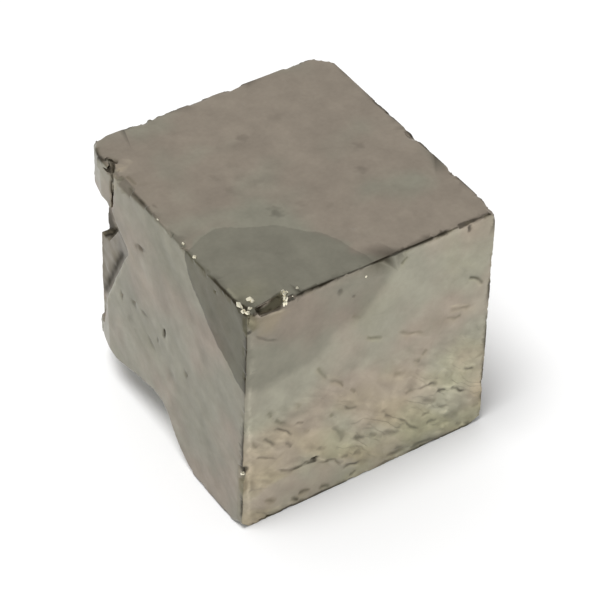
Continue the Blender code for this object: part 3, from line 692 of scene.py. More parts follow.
# %% The crevice near the foot
CREVICE = [
    ((3.3, 23.2), (4.5, 24.1), (5.4, 24.4), (6.5, 24.3), (7.2, 24.3), (7.9, 24.5), (8.7, 24.9)),
    ((8.3, 25.0), (9.3, 25.3), (10.0, 25.4), (10.8, 25.8), (11.2, 26.5), (11.7, 27.3)),
]
for line in CREVICE:
    # painted shade along the crevice, and a painted highlight on its lower lip
    groove("front", line, 0.15, 0.10, 0.30, pale=0.10)
    stroke("front", line, 0.34, pale=-0.16, warm=0.5)
print("lines in the crevice:", len(CREVICE))

# %% [markdown]
# ## Pits
# Weather has eaten shallow pits into the smooth faces. Each is a bowl whose rim is bent by noise, darker
# inside with grime and painted shade. Most are so flat that they show as soft smudges and hardly as holes.

# %% Pits and dents
DENTS = [  # (face, across, down, wide, tall, turn, deep, dark)
    ("top", 14.5, 8.3, 1.3, 1.6, 20, 0.03, 0.26), ("top", 11.2, 11.6, 1.9, 1.3, 24, 0.02, 0.10),
    ("top", 8.4, 12.2, 0.8, 1.7, -20, 0.02, 0.14), ("top", 10.6, 13.7, 1.5, 1.2, 0, 0.02, 0.14),
    ("top", 8.8, 15.0, 1.3, 1.1, 30, 0.02, 0.14), ("top", 12.0, 15.3, 1.8, 1.0, -15, 0.02, 0.12),
    ("top", 11.0, 20.6, 1.5, 2.0, -12, 0.04, 0.36), ("top", 13.8, 20.8, 1.0, 1.5, 0, 0.02, 0.14),
    ("top", 19.2, 7.0, 2.2, 1.6, 10, 0.02, 0.10), ("top", 24.2, 15.9, 1.2, 1.4, 40, 0.03, 0.24),
    ("top", 22.3, 19.4, 1.5, 1.4, 15, 0.03, 0.26), ("top", 16.1, 22.6, 1.0, 1.6, 60, 0.02, 0.14),
    ("top", 23.7, 24.4, 1.3, 1.2, 0, 0.02, 0.12), ("top", 8.9, 3.8, 1.4, 1.0, 0, 0.02, 0.12),
    ("top", 7.8, 26.2, 1.2, 1.5, 20, 0.02, 0.14), ("top", 0.95, 12.9, 0.5, 0.9, 0, 0.05, 0.35),
    ("front", 11.0, 2.0, 0.8, 0.9, 0, 0.08, 0.40), ("front", 12.6, 3.4, 0.6, 0.5, 20, 0.05, 0.35),
    ("front", 26.9, 0.85, 0.7, 0.9, 0, 0.14, 0.70), ("front", 8.3, 24.35, 1.0, 0.7, 10, 0.25, 1.00),
    ("left", 11.6, 6.2, 2.4, 0.8, -14, 0.06, 0.35), ("left", 21.0, 16.6, 0.9, 0.9, 0, 0.05, 0.30),
    ("left", 10.3, 14.9, 1.6, 0.6, 12, 0.04, 0.30), ("left", 7.7, 15.6, 0.6, 1.5, 0, 0.05, 0.30),
    ("left", 12.3, 14.6, 1.6, 0.5, -4, 0.04, 0.30), ("left", 15.3, 16.2, 0.5, 0.7, 0, 0.06, 0.45),
    ("left", 14.0, 17.6, 2.2, 0.7, 30, 0.04, 0.22), ("left", 9.6, 17.2, 1.4, 2.0, 10, 0.03, 0.18),
    ("left", 18.0, 19.2, 1.2, 2.2, 20, 0.03, 0.14), ("left", 24.6, 21.0, 1.6, 1.0, 35, 0.02, 0.14),
]
for face, at_across, at_down, wide, tall, turned, deep, dark in DENTS:
    dent(face, at_across, at_down, wide, tall, turned, deep, dark)
# a narrow slot on the left, dark with painted shadow
stroke("left", ((16.5, 13.6), (16.56, 15.1)), 0.22, deep=0.16, dark=1.0)
who, across, down, weight = on_page("top")
shade[who] *= 1 + 0.05 * weight * rough(points[who], 1.7, 36)
print("dents:", len(DENTS))

# %% [markdown]
# ## Streaks on the left
# The left face carries faint slanting streaks, where layers grew past each other. The same noise as before
# makes them, stretched along one direction. A few soft clouds of tint join them, because the
# film on this face is thicker in some places than in others.

# %% Streaks
STREAK_TURN = math.radians(42)
STREAK_HIGH = 0.022  # mm

who, across, down, weight = on_page("left")
cross = down * math.cos(STREAK_TURN) - across * math.sin(STREAK_TURN)
run = across * math.cos(STREAK_TURN) + down * math.sin(STREAK_TURN)
streaked = np.stack([run / 2.4, cross, np.zeros(len(who))], axis=1)
streaks = rough(streaked, 2.4, 21)
relief[who] += STREAK_HIGH * weight * streaks
blotch = rough(points[who], 1.5, 29)
shade[who] *= 1 + weight * (0.11 * streaks + 0.07 * blotch)
LEFT_CLOUDS = [  # (across, down, wide, tall, turn, paler or darker)
    (12.4, 9.4, 1.4, 3.4, -62, 0.10), (15.4, 12.6, 1.3, 3.6, -60, 0.07), (12.0, 11.6, 0.8, 2.4, -58, -0.09),
    (17.0, 3.5, 6.0, 4.5, 20, -0.11),
    (12.6, 8.6, 1.2, 3.6, -20, 0.07), (15.6, 7.0, 1.3, 4.0, -25, -0.08), (18.6, 8.4, 2.0, 3.4, -25, 0.05),
    (9.6, 13.6, 2.0, 3.0, -10, -0.06), (13.4, 18.6, 2.6, 2.0, 20, -0.10), (19.4, 17.0, 3.6, 2.4, 10, 0.04),
    (24.0, 20.8, 2.0, 4.0, -20, -0.04), (27.4, 24.0, 2.4, 2.6, 0, 0.04), (9.0, 3.2, 1.0, 2.4, -30, 0.08),
    (11.2, 6.8, 0.9, 2.6, -35, -0.07),
]
for at_across, at_down, wide, tall, turned, pale in LEFT_CLOUDS:
    smudge("left", at_across, at_down, wide, tall, turned, pale, 0.3 * (pale < -0.09))
print("strongest streak, mm:", round(float(STREAK_HIGH * np.abs(streaks).max()), 3))

# %% [markdown]
# ## Terraces on the far sides
# The right and the back face grew in thin sheets that stop in wandering lines, like the shores of flat
# islands. Noise makes a gentle hilly land of the face, and wherever it passes a chosen level, the
# surface steps down by a few hundredths of a millimetre.

# %% Steps along the levels of a noise
LEVELS = (-0.35, 0.05, 0.40)
STEP = 0.05  # mm
for name, seed in (("right", 51), ("back", 55)):
    who, across, down, weight = on_page(name)
    land = rough(points[who], 9.0, seed)
    grain_of_face = rough(points[who] * (1, 1, 2.5), 2.2, seed + 3)
    for level in LEVELS:
        touch(who, weight * smooth_step(level - 0.02, level + 0.02, land), STEP)
        shore = np.exp(-(((land - level) / 0.025) ** 2))
        touch(who, weight * shore * smooth_step(-0.3, 0.5, grain_of_face), dark=0.22, warm=0.5)
    relief[who] += 0.02 * weight * grain_of_face
    shade[who] *= 1 + 0.07 * weight * grain_of_face
    print("land on the", name, "from", round(float(land.min()), 2), "to", round(float(land.max()), 2))

# %% [markdown]
# ## The notch in the left face
# The neighbour that came off left a notch with a ledge along its top and a deep crease at the back. Its
# walls, ledge and crease are painted darker, as shade, and the rim beside the crease gets a painted
# highlight.
# The walls belong to no page. They are read on the left page, but shifted with their depth, the way they
# look past the notch's rim. A few closed outlines and lines are enough then.

# %% Painted shade in the notch
SLANT = (1.86, -1.82)  # how far across and down a mark shifts for each millimetre of depth
NOTCH_WIDE, NOTCH_TOP, NOTCH_FOOT, NOTCH_DEEP = 11.0, 4.2, 22.0, 7.0  # mm on the left page
TO_VIEWER = np.array((-0.41, -0.62, 0.66))  # the walls that face away from here stay plain


def slanted(name, page, slant, weight):
    """Carries a page on past its rim, where each mark shifts with its depth."""
    across, down, depth = PAGES[page].read(points)
    who = np.flatnonzero(weight > 0)
    pages_read[name] = who, (across + slant[0] * depth)[who], (down + slant[1] * depth)[who], weight[who]


across, down, depth = PAGES["left"].read(points)
calm = smooth_step(0.12, 0.4, depth) * smooth_step(NOTCH_WIDE, NOTCH_WIDE - 1, across)
calm = calm * smooth_step(NOTCH_FOOT, NOTCH_FOOT - 2, down) * smooth_step(NOTCH_DEEP, NOTCH_DEEP - 1, depth)
calm = calm * (facing @ TO_VIEWER > 0) * (down > NOTCH_TOP)
slanted("notch", "left", SLANT, calm)
WALL = [(2.5, 8.5), (7.6, 5.2), (9.6, 6.0), (9.8, 9.6), (5.6, 17.4), (2.5, 18.0)]
# painted shade: the notch's walls are darker
patch("notch", WALL, 0.5, pale=-0.42, warm=1.0)
patch("notch", [(7.6, 6.4), (9.4, 6.6), (9.2, 8.9), (7.6, 10.6), (7.0, 8.8)], 0.4, pale=-0.25)
LEDGE = [(3.4, 5.6), (5.8, 4.4), (6.8, 6.6), (5.3, 8.4), (3.7, 9.2)]
# painted shadow under the overhang above the ledge, and along the ledge's edge
patch("notch", LEDGE, 0.25, dark=0.75)
stroke("notch", ((4.2, 9.5), (5.9, 7.9), (7.3, 6.5)), 0.28, deep=0.08, dark=0.95, ends=0.05)
RIM = ((8.6, 8.8), (7.85, 10.2), (5.95, 14.1), (4.35, 17.4), (3.3, 20.6))
# painted shadow in the crease behind the rim, and a painted highlight on the rim itself
stroke("notch", [(x - 0.2, y) for x, y in RIM], 0.55, deep=0.10, dark=1.0, ends=0.08, loose=0.4)
stroke("left", [(x + 0.75, y) for x, y in RIM], 0.22, deep=-0.03, pale=0.22)
print("points in the notch:", len(pages_read["notch"][0]))

# %% [markdown]
# ## Broken places
# The foot under the left face broke away, and there the surface is a rough fracture with no plane at all. A
# point counts as broken when it lies well below every one of the six planes. The notch is left out,
# because its walls grew against the lost neighbour and stay smooth.

# %% Fractures
broken = smooth_step(0.35, 0.8, from_face) * (1 - calm)
shell = np.abs(rough(points, 1.8, 23))
relief += broken * (0.10 * drift(points, 2.4, 22) - 0.16 * shell + 0.03 * drift(points, 0.45, 26))
grime_and_shade = np.maximum(grime_and_shade, 0.35 * broken * smooth_step(0.15, 0.6, rough(points, 1.2, 27)))
print("share of the surface that is broken:", round(float(broken.mean()), 3))

# %% [markdown]
# ## Corners that took a knock
# Where three faces meet there is no single page either. Some of these marks are lumps in space: an
# ellipsoid round a point. For the rest, the top page is carried on over the edges with a slant, as in the
# notch. The front corner lost a chip, brown inside and darkened with painted shadow, with a painted
# highlight on its lip and a worn bevel under it. The rear left corner has a three-sided hole and a crack
# that sets off a small crystal: the hole and the crack get painted shadow, their chipped rims painted
# highlights.

# %% The front corner
def lump(place, reach, soft=0.25, deep=0.0, dark=0.0, pale=0.0, warm=0.0):
    """A mark with the shape of an ellipsoid, in the block's own millimetres."""
    away = (points - np.array(place)) / np.array(reach)
    who = np.flatnonzero(np.abs(away).max(axis=1) < 1.6)
    gap = np.linalg.norm(away[who], axis=1) + 0.15 * waver[who]
    touch(who, smooth_step(1 + soft, 1 - soft, gap), deep, dark, pale, warm)


CORNER_SLANT = (-0.622, 0.935)  # across and down for each millimetre of depth, as in the notch
across_top, down_top, depth_top = PAGES["top"].read(points)
near_corner = (across_top < 8.0) & (down_top > 28.5) & (depth_top < 4.0)  # mm
slanted("corner", "top", CORNER_SLANT, near_corner.astype(float))

smudge("top", 1.6, 29.6, 2.6, 1.8, 0, pale=0.03, warm=0.5)
lump((LEFT, FRONT, HEIGHT), (1.1, 1.1, 0.5), deep=0.18)
lump((LEFT, FRONT, HEIGHT - 1.3), (0.75, 0.75, 1.1), deep=0.22)
CHIP = [(1.1, 31.7), (1.5, 32.1), (2.2, 32.2), (2.9, 31.8), (4.1, 31.2), (4.7, 31.2), (4.2, 32.2),
        (3.5, 33.0), (2.9, 33.2), (2.2, 33.0), (1.2, 32.8)]
# the chip is brown inside, partly a stain and partly painted shade
patch("corner", CHIP, 0.18, deep=0.12, dark=0.70, warm=1.0)
# painted shadow between the crumbs
for at_across, at_down in ((1.3, 32.4), (2.4, 32.7), (3.3, 32.9), (4.1, 31.6)):
    smudge("corner", at_across, at_down, 0.45, 0.36, 0, deep=0.08, dark=1.0)
# painted shadow under the chip's rim
CHIP_FOOT = ((1.1, 32.6), (2.3, 33.0), (3.2, 33.1), (4.0, 32.3), (4.6, 31.3))
stroke("corner", CHIP_FOOT, 0.22, deep=0.05, dark=1.0, ends=0.05, loose=0.5)
# a painted highlight on the lip
LIP = ((0.7, 32.2), (1.1, 33.0), (2.0, 33.4), (3.0, 33.5), (3.9, 33.2))
stroke("corner", LIP, 0.17, deep=-0.05, pale=0.45)
CRUSHED = [(-0.1, 29.5), (1.5, 29.8), (2.1, 30.5), (1.5, 31.5), (0.6, 32.4), (-0.8, 32.2)]
patch("corner", CRUSHED, 0.25, pale=-0.30)
smudge("corner", 0.52, 31.35, 0.35, 0.30, 0, deep=0.08, dark=0.9)
WORN = [(-0.5, 31.9), (0.5, 32.4), (0.8, 33.2), (0.0, 34.5), (-0.8, 34.7), (-1.3, 33.3)]
patch("corner", WORN, 0.25, dark=0.28, warm=1.0)
# a painted highlight in the middle of the worn facet
smudge("corner", -0.25, 33.5, 0.38, 0.38, 0, pale=0.5)
smudge("corner", 0.10, 32.5, 0.22, 0.22, 0, dark=0.5)
patch("front", [(1.2, 0.9), (4.6, 1.1), (3.0, 3.4), (1.3, 3.4)], 0.4, pale=0.08, warm=0.6)
groove("front", ((0.8, 2.9), (1.4, 3.6), (2.4, 4.3), (3.6, 5.1)), 0.14, 0.07, 0.4, pale=0.08)
# a painted highlight along the left edge of the top, near the corner
stroke("top", ((0.55, 27.6), (0.45, 29.0), (0.35, 30.2)), 0.16, deep=-0.02, pale=0.32, warm=0.5)
print("grimy points so far:", int((grime_and_shade > 0.5).sum()))

# %% The upright edge below it
# a painted highlight along the upright front edge
stroke("front", ((0.50, 2.6), (0.30, 11.5), (0.14, 20.6), (0.02, 29.4)), 0.17, pale=0.32, ends=0.05)
# a painted highlight just under the top edge of the front
stroke("front", ((5.5, 0.62), (16.0, 0.58), (28.5, 0.62)), 0.24, pale=0.12, ends=0.05)
who, across, down, weight = on_page("front")
# darker along the top edge of the front: partly a stain, partly a painted dark reflection
edge_stain_and_shade = smooth_step(-0.1, 0.8, rough(points[who], 1.6, 35)) * smooth_step(0.75, 0.1, down)
touch(who, edge_stain_and_shade * smooth_step(5.0, 7.0, across), 0.03, 0.40, 0.0, 0.8)
lump((LEFT - 0.7, FRONT, HEIGHT - 21.3), (0.7, 0.7, 0.6), deep=0.10, dark=0.75)
lump((LEFT - 0.75, FRONT, HEIGHT - 23.4), (0.7, 0.7, 1.4), dark=0.30, warm=1.0)
print("stained points along the top edge:", int((edge_stain_and_shade > 0.5).sum()))

# %% The rear left corner
REAR_SLANT = (-0.591, 1.10)  # across and down for each millimetre of depth
near_rear = (across_top < 6) & (down_top < 13.5) & (depth_top < 6.5) & (facing @ TO_VIEWER > 0)  # mm
slanted("rear", "top", REAR_SLANT, near_rear.astype(float))

# painted light on the face of the small crystal
smudge("left", 4.0, 1.2, 1.5, 2.2, 0, pale=0.16)
smudge("left", 3.6, 3.4, 1.2, 1.8, 0, pale=0.10)
# the dark lines are painted shadow in the hole and the crack, the pale ones painted highlights on the chipped
# rims
REAR_STROKES = [  # (line, half width, deep, dark, pale), mm
    (((0.62, 3.40), (0.94, 4.18), (1.45, 4.80)), 0.26, 0.30, 1.00, 0.00),
    (((0.84, 4.20), (0.45, 5.10), (-0.05, 6.10)), 0.22, 0.20, 1.00, 0.00),
    (((-0.04, 5.80), (-0.66, 7.01), (-1.90, 9.00)), 0.16, 0.14, 0.90, 0.00),
    (((-0.07, 5.80), (0.02, 4.30), (-0.08, 3.44), (-0.12, 2.90)), 0.16, 0.02, 0.35, 0.00),
    (((0.20, 4.60), (0.34, 4.95)), 0.26, -0.02, 0.00, 0.30),
    (((0.85, 5.05), (1.00, 5.30)), 0.26, -0.02, 0.00, 0.30),
    (((0.42, 6.13), (1.45, 5.59), (2.75, 5.33)), 0.30, -0.04, 0.00, 0.46),
    (((1.30, 5.62), (1.75, 5.50)), 0.26, -0.02, 0.00, 0.30),
    (((0.08, 6.30), (-1.32, 8.73)), 0.16, -0.02, 0.00, 0.24),
    (((0.30, 6.80), (0.10, 7.60)), 0.36, 0.02, 0.12, -0.14),
    (((-0.60, 8.90), (-0.74, 9.70)), 0.24, 0.02, 0.10, -0.12),
    (((1.00, 7.20), (1.02, 8.20), (0.95, 9.20)), 0.24, 0.04, 0.34, 0.00),
    (((0.45, 8.85), (-0.06, 10.1), (-0.08, 11.24), (0.19, 12.3)), 0.24, 0.04, 0.40, 0.00),
    (((0.70, 1.30), (0.20, 2.60), (-0.15, 3.40)), 0.24, 0.04, 0.70, 0.00),
]
for line, wide, deep, dark, pale in REAR_STROKES:
    stroke("rear", line, wide, deep, dark, pale, warm=0.5, ends=0.12, loose=0.5)

BEVEL_WIDE, BEVEL_STEEP = 0.9, 0.5  # mm, and mm down for each mm across

who, across, down, weight = on_page("top")
bevel = BEVEL_WIDE * smooth_step(5.6, 8.0, down) * smooth_step(11.0, 8.0, down)
relief[who] -= BEVEL_STEEP * np.maximum(bevel - across, 0) * weight
# painted light: the bevel is paler
shade[who] *= 1 + 0.12 * smooth_step(-0.3, 0.6, bevel - across) * weight
print("deepest mark, mm:", round(float(relief.min()), 2))

# %% [markdown]
# ## Where the dark patch ends
# A darker patch lies over the front corner. Its border is crisp, and a crisp line needs more points than
# the mesh has. So each point only learns how many millimetres it lies inside the border, which changes
# slowly, and the material draws the line where that number passes zero.

# %% Distance to the dark patch border
DARK_PATCH_OUTLINES = {
    "top": [(-1.0, 20.8), (0.0, 20.9), (2.1, 19.6), (4.1, 19.4), (7.2, 20.8), (9.4, 22.1), (10.6, 23.0),
            (11.9, 24.4), (13.1, 25.6), (14.0, 27.7), (14.6, 29.9), (15.0, 31.5), (15.0, 34.0), (-1.0, 34.0)],
    "front": [(20.0, -1.0), (18.9, 0.2), (17.8, 1.9), (16.5, 4.0), (14.3, 6.0), (12.2, 6.9), (10.3, 7.4),
              (9.3, 8.6), (8.6, 10.0), (6.6, 10.2), (4.2, 10.3), (2.6, 10.8), (0.0, 10.6), (-1.0, 10.6),
              (-1.0, -1.0)],
    "left": [(20.3, -1.0), (20.5, 1.0), (21.6, 3.2), (23.6, 4.9), (26.5, 7.5), (29.5, 9.3), (31.8, 10.3),
             (34.0, 10.6), (34.0, -1.0)],
}
DARK_PATCH_STRENGTH = {"top": 0.19, "front": 0.26, "left": 0.53}
DARK_PATCH_SOFT = {"top": 0.12, "front": 0.9, "left": 0.12}  # mm
FAR_OUTSIDE = -6.0  # mm, for the places that lie on none of the three pages
SOFT_OUTSIDE = 0.2  # mm, for the same places
TRACE = 1e-6  # a starting weight, so that nothing is divided by zero
# each page's darker patch is kept off its neighbours by this power
SQUARELY = 6  # the power that keeps each page's film off its neighbours

total = np.full(len(points), TRACE)
dark_patch = FAR_OUTSIDE * total
patch_dark, patch_soft = np.zeros(len(points)), SOFT_OUTSIDE * total
for name, outline in DARK_PATCH_OUTLINES.items():
    across, down, depth = PAGES[name].read(points)
    square_on = np.clip(facing @ PAGES[name].out, 0, 1) ** SQUARELY * (depth < 3)
    total += square_on
    dark_patch += square_on * inside(across, down, outline)
    patch_dark += square_on * DARK_PATCH_STRENGTH[name]
    patch_soft += square_on * DARK_PATCH_SOFT[name]
dark_patch, patch_dark, patch_soft = dark_patch / total, patch_dark / total, patch_soft / total
who, across, down, weight = on_page("left")
touch(who, weight * smooth_step(-0.1, 0.3, dark_patch[who]), warm=0.8)
print("share of the surface under tarnish:", round(float((dark_patch > 0).mean()), 3))

# %% [markdown]
# ## Moving the points
# The left side gets painted shade and is darker than the others, and each side leans to its own hue: under
# zero is warm, over zero is green. Once that is set, every point goes out or in by its height, along the
# direction that it faces. The stone may not grow past the plain solid's box, so the places are clipped to
# it. What the finish needs to know travels with the mesh as named attributes.

# %% Paint shade on the left side and lean the hues
LEFT_PAINTED_SHADE = 0.26
TOP_LEAN = -0.14
NOTCH_LEAN = -0.30

# painted shade: the left side is darker all over
shade *= 1 - LEFT_PAINTED_SHADE * smooth_step(0.3, 0.9, facing @ PAGES["left"].out)
lean = TOP_LEAN * smooth_step(0.3, 0.9, facing[:, 2])
who, across, down, weight = on_page("top")
lean[who] += 0.22 * weight * np.exp(-np.hypot((across - 10.5) / 5.0, (down - 19.5) / 4.5) ** 2)
lean[who] += 0.30 * weight * smooth_step(-0.2, 1.0, dark_patch[who])
who, across, down, weight = on_page("front")
lean[who] += 0.16 * weight * np.exp(-np.hypot((across - 23.0) / 6.0, (down - 6.0) / 5.0) ** 2)
lean[who] -= 0.10 * weight * smooth_step(14, 20, down)
lean[pages_read["notch"][0]] += NOTCH_LEAN
print("lean from", round(float(lean.min()), 2), "to", round(float(lean.max()), 2))

# %% Carve the stone
# Painted dark reflection: a thin dark line along the edges, where the rounded edges would mirror the dark
# side of the room. It is weaker where the darker patch runs over the top left edge, and gone on the worn
# facet under the front corner and beside the front's left edge.
EDGE_SHADE_REACH = 0.23  # mm: how far the dark line reaches from an edge

edge_shade_reach = EDGE_SHADE_REACH + 0.12 * rough(points, 2.2, 41)
painted_edge_shade = smooth_step(edge_shade_reach + 0.22, edge_shade_reach - 0.05, from_edge)
painted_edge_shade = painted_edge_shade * smooth_step(-0.5, 0.3, rough(points, 4.0, 43))
across, down, depth = PAGES["top"].read(points)
soft_stretch = (across < 1.5) & (depth < 1.5)  # of the top left edge, where the film runs over it
worn_facet = (across < 1.5) & (down > 30.8) & (depth < 2.7)  # under the front corner
soft_stretch = soft_stretch * smooth_step(20.4, 21.2, down) * smooth_step(26.2, 25.2, down)
painted_edge_shade = painted_edge_shade * (1 - worn_facet) * (1 - 0.75 * soft_stretch)
sunny_side = (facing @ PAGES["front"].out > 0.8) & (across < 1.0)  # the front, beside its left edge
painted_edge_shade = painted_edge_shade * (1 - 0.85 * sunny_side)

write_points(stone.data, np.clip(points + facing * relief[:, None], box_low, box_high))
TRAVEL = {
    "grime_and_shade": np.clip(grime_and_shade, 0, 1), "edge": painted_edge_shade, "shade": shade, "warmth": warmth,
    "dark_patch": dark_patch, "patch_dark": patch_dark, "patch_soft": patch_soft, "lean": lean,
}
for name, values in TRAVEL.items():
    layer = stone.data.attributes.new(name, "FLOAT", "POINT")
    layer.data.foreach_set("value", values.astype(np.float32))
print("heights from", round(float(relief.min()), 2), "to", round(float(relief.max()), 2), "mm")

# %% [markdown]
# ## Fewer triangles, where they aren't missed
# The surface has over a million triangles. Decimate joins those that lie nearly flat and leaves the
# small ones where the shape bends. A coarser remesh would have thrown the fine marks away with the rest.
# Edges over a certain angle are shaded hard, or a long triangle beside one would carry a dark smear.

# %% Thin the mesh out
MOST_TRIANGLES = 190_000
HARD_EDGE = 38  # degrees
triangles = sum(len(face.vertices) - 2 for face in stone.data.polygons)
if triangles > MOST_TRIANGLES:
    thin = stone.modifiers.new("thin out", "DECIMATE")
    thin.ratio = MOST_TRIANGLES / triangles
    thin.use_collapse_triangulate = True
    applied(stone)
stone.data.shade_smooth()
stone.data.set_sharp_from_angle(angle=math.radians(HARD_EDGE))
print("triangles:", triangles, "to", len(stone.data.polygons))

# %% [markdown]
# ## The metal
# Pyrite is a metal to look at, but not a clean one: the shine is dulled, warm brown in some places and
# greyish green in others, and a darker patch covers the front corner. One noise picks between the two
# colours, a finer one makes each uneven, and the attributes from the mesh bring in grime, painted light
# and shade, and a painted dark reflection along the edges. A painted picture would fit only this one
# mesh; nodes fit any.

# %% Pyrite
WARM = (0.354, 0.304, 0.245, 1)
GREEN = (0.334, 0.320, 0.254, 1)
BEIGE = (1.03, 1.02, 0.87, 1)
GRIME_AND_SHADE_BROWN = (0.030, 0.024, 0.014, 1)
# the most that the painted dark reflection along the edges hides of the metal, and the most that grime and
# painted shade in the hollows hide
EDGE_SHADE, HOLLOW_GRIME_AND_SHADE = 0.84, 0.97  # how much of the metal the grime hides at most


def pyrite_metal():
    """Dull brass-grey metal in two tones, with a darker patch, grime, painted light and shade, and a painted
    dark reflection along the edges.
    """
    material, nodes, links, shader = new_material("pyrite_metal")

    def node(kind, **settings):
        made = nodes.new(kind)
        for name, value in settings.items():
            setattr(made, name, value)
        return made

    def feed(target, value):
        """Puts a link, a number or a colour into a socket."""
        if isinstance(value, bpy.types.NodeSocket):
            links.new(value, target)
        else:
            target.default_value = value

    def math_node(operation, a, b=0.0):
        made = node("ShaderNodeMath", operation=operation)
        feed(made.inputs[0], a)
        feed(made.inputs[1], b)
        return made.outputs[0]

    def mix(amount, first, second, blend="MIX"):
        made = node("ShaderNodeMix", data_type="RGBA", blend_type=blend)
        feed(made.inputs[0], amount)
        feed(made.inputs[6], first)
        feed(made.inputs[7], second)
        return made.outputs[2]

    def spread(value, low, high, to_low=0.0, to_high=1.0):
        made = node("ShaderNodeMapRange", interpolation_type="SMOOTHSTEP")
        feed(made.inputs["Value"], value)
        feed(made.inputs["From Min"], low)
        feed(made.inputs["From Max"], high)
        feed(made.inputs["To Min"], to_low)
        feed(made.inputs["To Max"], to_high)
        return made.outputs["Result"]

    coordinates = node("ShaderNodeTexCoord").outputs["Object"]

    def cloud(size, detail=3.0, shift=0.0):
        """Noise with patches of about size millimetres."""
        made = node("ShaderNodeTexNoise", noise_dimensions="4D")
        feed(made.inputs["Vector"], coordinates)
        feed(made.inputs["W"], shift)
        feed(made.inputs["Scale"], 1 / (size * MM))
        feed(made.inputs["Detail"], detail)
        return made.outputs["Fac"]

    def attribute(name):
        return node("ShaderNodeAttribute", attribute_name=name).outputs["Fac"]

    pick = math_node("ADD", cloud(9, 2, 1.3), attribute("lean"))
    tone = mix(spread(pick, 0.36, 0.60), WARM, GREEN)
    tone = mix(attribute("warmth"), tone, mix(1.0, tone, BEIGE, "MULTIPLY"))
    mottle = spread(cloud(2.6, 4, 4.1), 0.25, 0.75, 0.93, 1.07)
    speck = spread(cloud(0.5, 2, 7.7), 0.25, 0.75, 0.97, 1.03)
    bright = math_node("MULTIPLY", math_node("MULTIPLY", mottle, speck), attribute("shade"))

    uneven = spread(cloud(1.6, 3, 2.2), 0.2, 0.8, -0.25, 0.25)
    patch_reach = math_node("ADD", attribute("dark_patch"), uneven)
    soft = attribute("patch_soft")
    in_dark_patch = spread(patch_reach, math_node("MULTIPLY", soft, -1.0), soft)
    loss = math_node("MULTIPLY", in_dark_patch, attribute("patch_dark"))
    bright = math_node("MULTIPLY", bright, math_node("SUBTRACT", 1.0, loss))
    tone = mix(1.0, tone, bright, "MULTIPLY")

    # painted dark reflection along the edges
    tone = mix(math_node("MULTIPLY", attribute("edge"), EDGE_SHADE), tone, GRIME_AND_SHADE_BROWN)
    # grime and painted shade in the hollows
    grime_and_shade_amount = attribute("grime_and_shade")
    tone = mix(math_node("MULTIPLY", grime_and_shade_amount, HOLLOW_GRIME_AND_SHADE), tone, GRIME_AND_SHADE_BROWN)
    feed(shader.inputs["Base Color"], tone)
    feed(shader.inputs["Metallic"], spread(grime_and_shade_amount, 0.0, 1.0, 1.0, 0.5))
    feed(shader.inputs["Specular IOR Level"], spread(grime_and_shade_amount, 0.2, 1.0, 0.5, 0.1))
    dull = spread(cloud(1.4, 4, 9.4), 0.2, 0.8, 0.30, 0.42)
    duller = math_node("ADD", dull, math_node("MULTIPLY", grime_and_shade_amount, 0.25))
    feed(shader.inputs["Roughness"], duller)

    grain = node("ShaderNodeBump")
    feed(grain.inputs["Strength"], 0.35)
    feed(grain.inputs["Distance"], 0.02 * MM)
    feed(grain.inputs["Height"], cloud(0.35, 5, 3.3))
    feed(shader.inputs["Normal"], grain.outputs["Normal"])
    return material


metal = pyrite_metal()
stone.data.materials.clear()
stone.data.materials.append(metal)
print("nodes in the metal:", len(metal.node_tree.nodes))

# %% [markdown]
# ## Bright flakes
# Where the corner was crushed, fresh pyrite shows. It is much brighter than the weathered skin, and each
# crumb is a little block with flat sides, so it flashes. A bump could not do that, so the crumbs are real
# shapes: a few random points each, wrapped in their convex hull and left with hard facets.

# %% Crumbs of fresh pyrite
FLAKES = [  # (across and down on the top page, lift of the middle, wide, long, tall, turn)
    (0.22, 30.60, -0.10, 0.60, 0.95, 0.75, 15), (1.44, 30.60, -0.02, 0.85, 0.80, 0.70, -20),
    (0.05, 31.55, -0.15, 0.55, 0.55, 0.60, 40), (0.35, 31.85, -0.20, 0.60, 0.45, 0.60, 0),
    (0.80, 31.55, -0.12, 0.45, 0.70, 0.60, 70), (4.82, 31.45, -0.10, 0.80, 0.85, 0.90, 10),
    (4.66, 32.00, -0.30, 0.75, 0.75, 0.90, -15), (4.38, 32.35, -0.50, 0.60, 0.50, 0.80, 30),
    (6.30, 31.45, -0.12, 0.70, 0.55, 0.45, 20), (5.45, 31.95, -0.25, 0.50, 0.40, 0.40, -30),
    (0.22, 14.85, -0.12, 0.40, 0.60, 0.32, 0), (0.38, 19.60, -0.12, 0.40, 0.55, 0.32, 10),
    (0.25, 22.05, -0.08, 0.50, 0.60, 0.42, 35), (14.10, 32.35, -1.40, 0.50, 0.30, 0.45, 20),
    (-0.65, 32.30, -21.60, 0.50, 0.50, 0.65, 45),
]
CRUMBS = 3  # in each flake
CRUMB_SIZE = 0.78  # of the flake
CRUMB_ASIDE = 0.4  # of the flake's half width
FLAKE_POINTS = 14
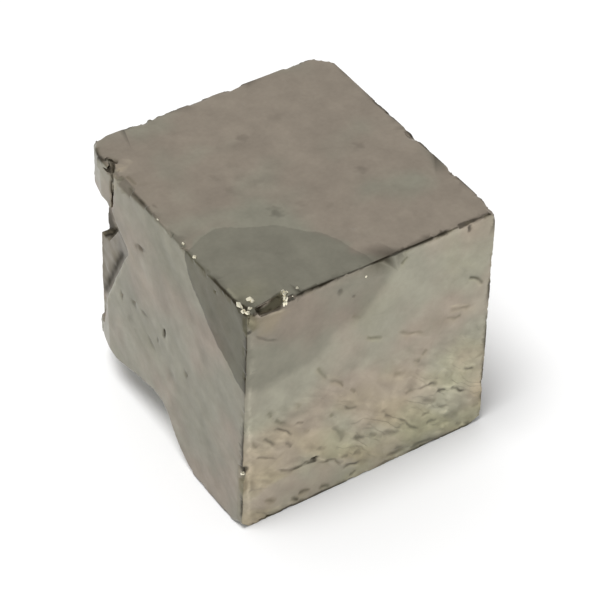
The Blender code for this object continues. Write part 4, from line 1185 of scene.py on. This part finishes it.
FLAKE_SEED = 12
dice = np.random.default_rng(FLAKE_SEED)
bm = bmesh.new()
for at_across, at_down, lift, wide, long, tall, turned in FLAKES:
    half = np.array([wide, long, tall]) / 2
    spin = Matrix.Rotation(math.radians(turned), 3, "Z")
    middle = Vector((LEFT + at_across, BACK - at_down, HEIGHT + lift))
    for crumb in range(CRUMBS):
        spots = dice.normal(size=(FLAKE_POINTS, 3))
        spots /= np.linalg.norm(spots, axis=1, keepdims=True)
        aside = dice.uniform(-CRUMB_ASIDE, CRUMB_ASIDE, size=3)
        corners = []
        for spot in (spots * CRUMB_SIZE + aside) * half:
            corner = middle + spin @ Vector(spot)
            corners.append(bm.verts.new(corner * MM))
        bmesh.ops.convex_hull(bm, input=corners)
bmesh.ops.delete(bm, geom=[v for v in bm.verts if not v.link_faces], context="VERTS")
flakes = object_from(bm, "corner_flakes")
print("flakes:", len(FLAKES), "with", len(flakes.data.polygons), "facets")

# %% Fresh pyrite
FRESH_BRASS = (0.93, 0.86, 0.64, 1)
FRESH_PALE = (1.00, 0.96, 0.80, 1)
FRESH_PATCH = 0.4  # mm

fresh, nodes, links, shader = new_material("fresh_pyrite")
glow = nodes.new("ShaderNodeTexNoise")
glow.inputs["Scale"].default_value = 1 / (FRESH_PATCH * MM)
pale = nodes.new("ShaderNodeMix")
pale.data_type = "RGBA"
pale.inputs[6].default_value = FRESH_BRASS
pale.inputs[7].default_value = FRESH_PALE
links.new(nodes.new("ShaderNodeTexCoord").outputs["Object"], glow.inputs["Vector"])
links.new(glow.outputs["Fac"], pale.inputs[0])
links.new(pale.outputs[2], shader.inputs["Base Color"])
shader.inputs["Metallic"].default_value = 1.0
shader.inputs["Roughness"].default_value = 0.38
flakes.data.materials.append(fresh)
print("finish of the flakes:", fresh.name)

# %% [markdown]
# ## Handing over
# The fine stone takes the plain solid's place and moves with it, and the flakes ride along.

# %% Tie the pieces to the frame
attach(stone, "root")
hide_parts("pyrite_cube")
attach(flakes, "root")
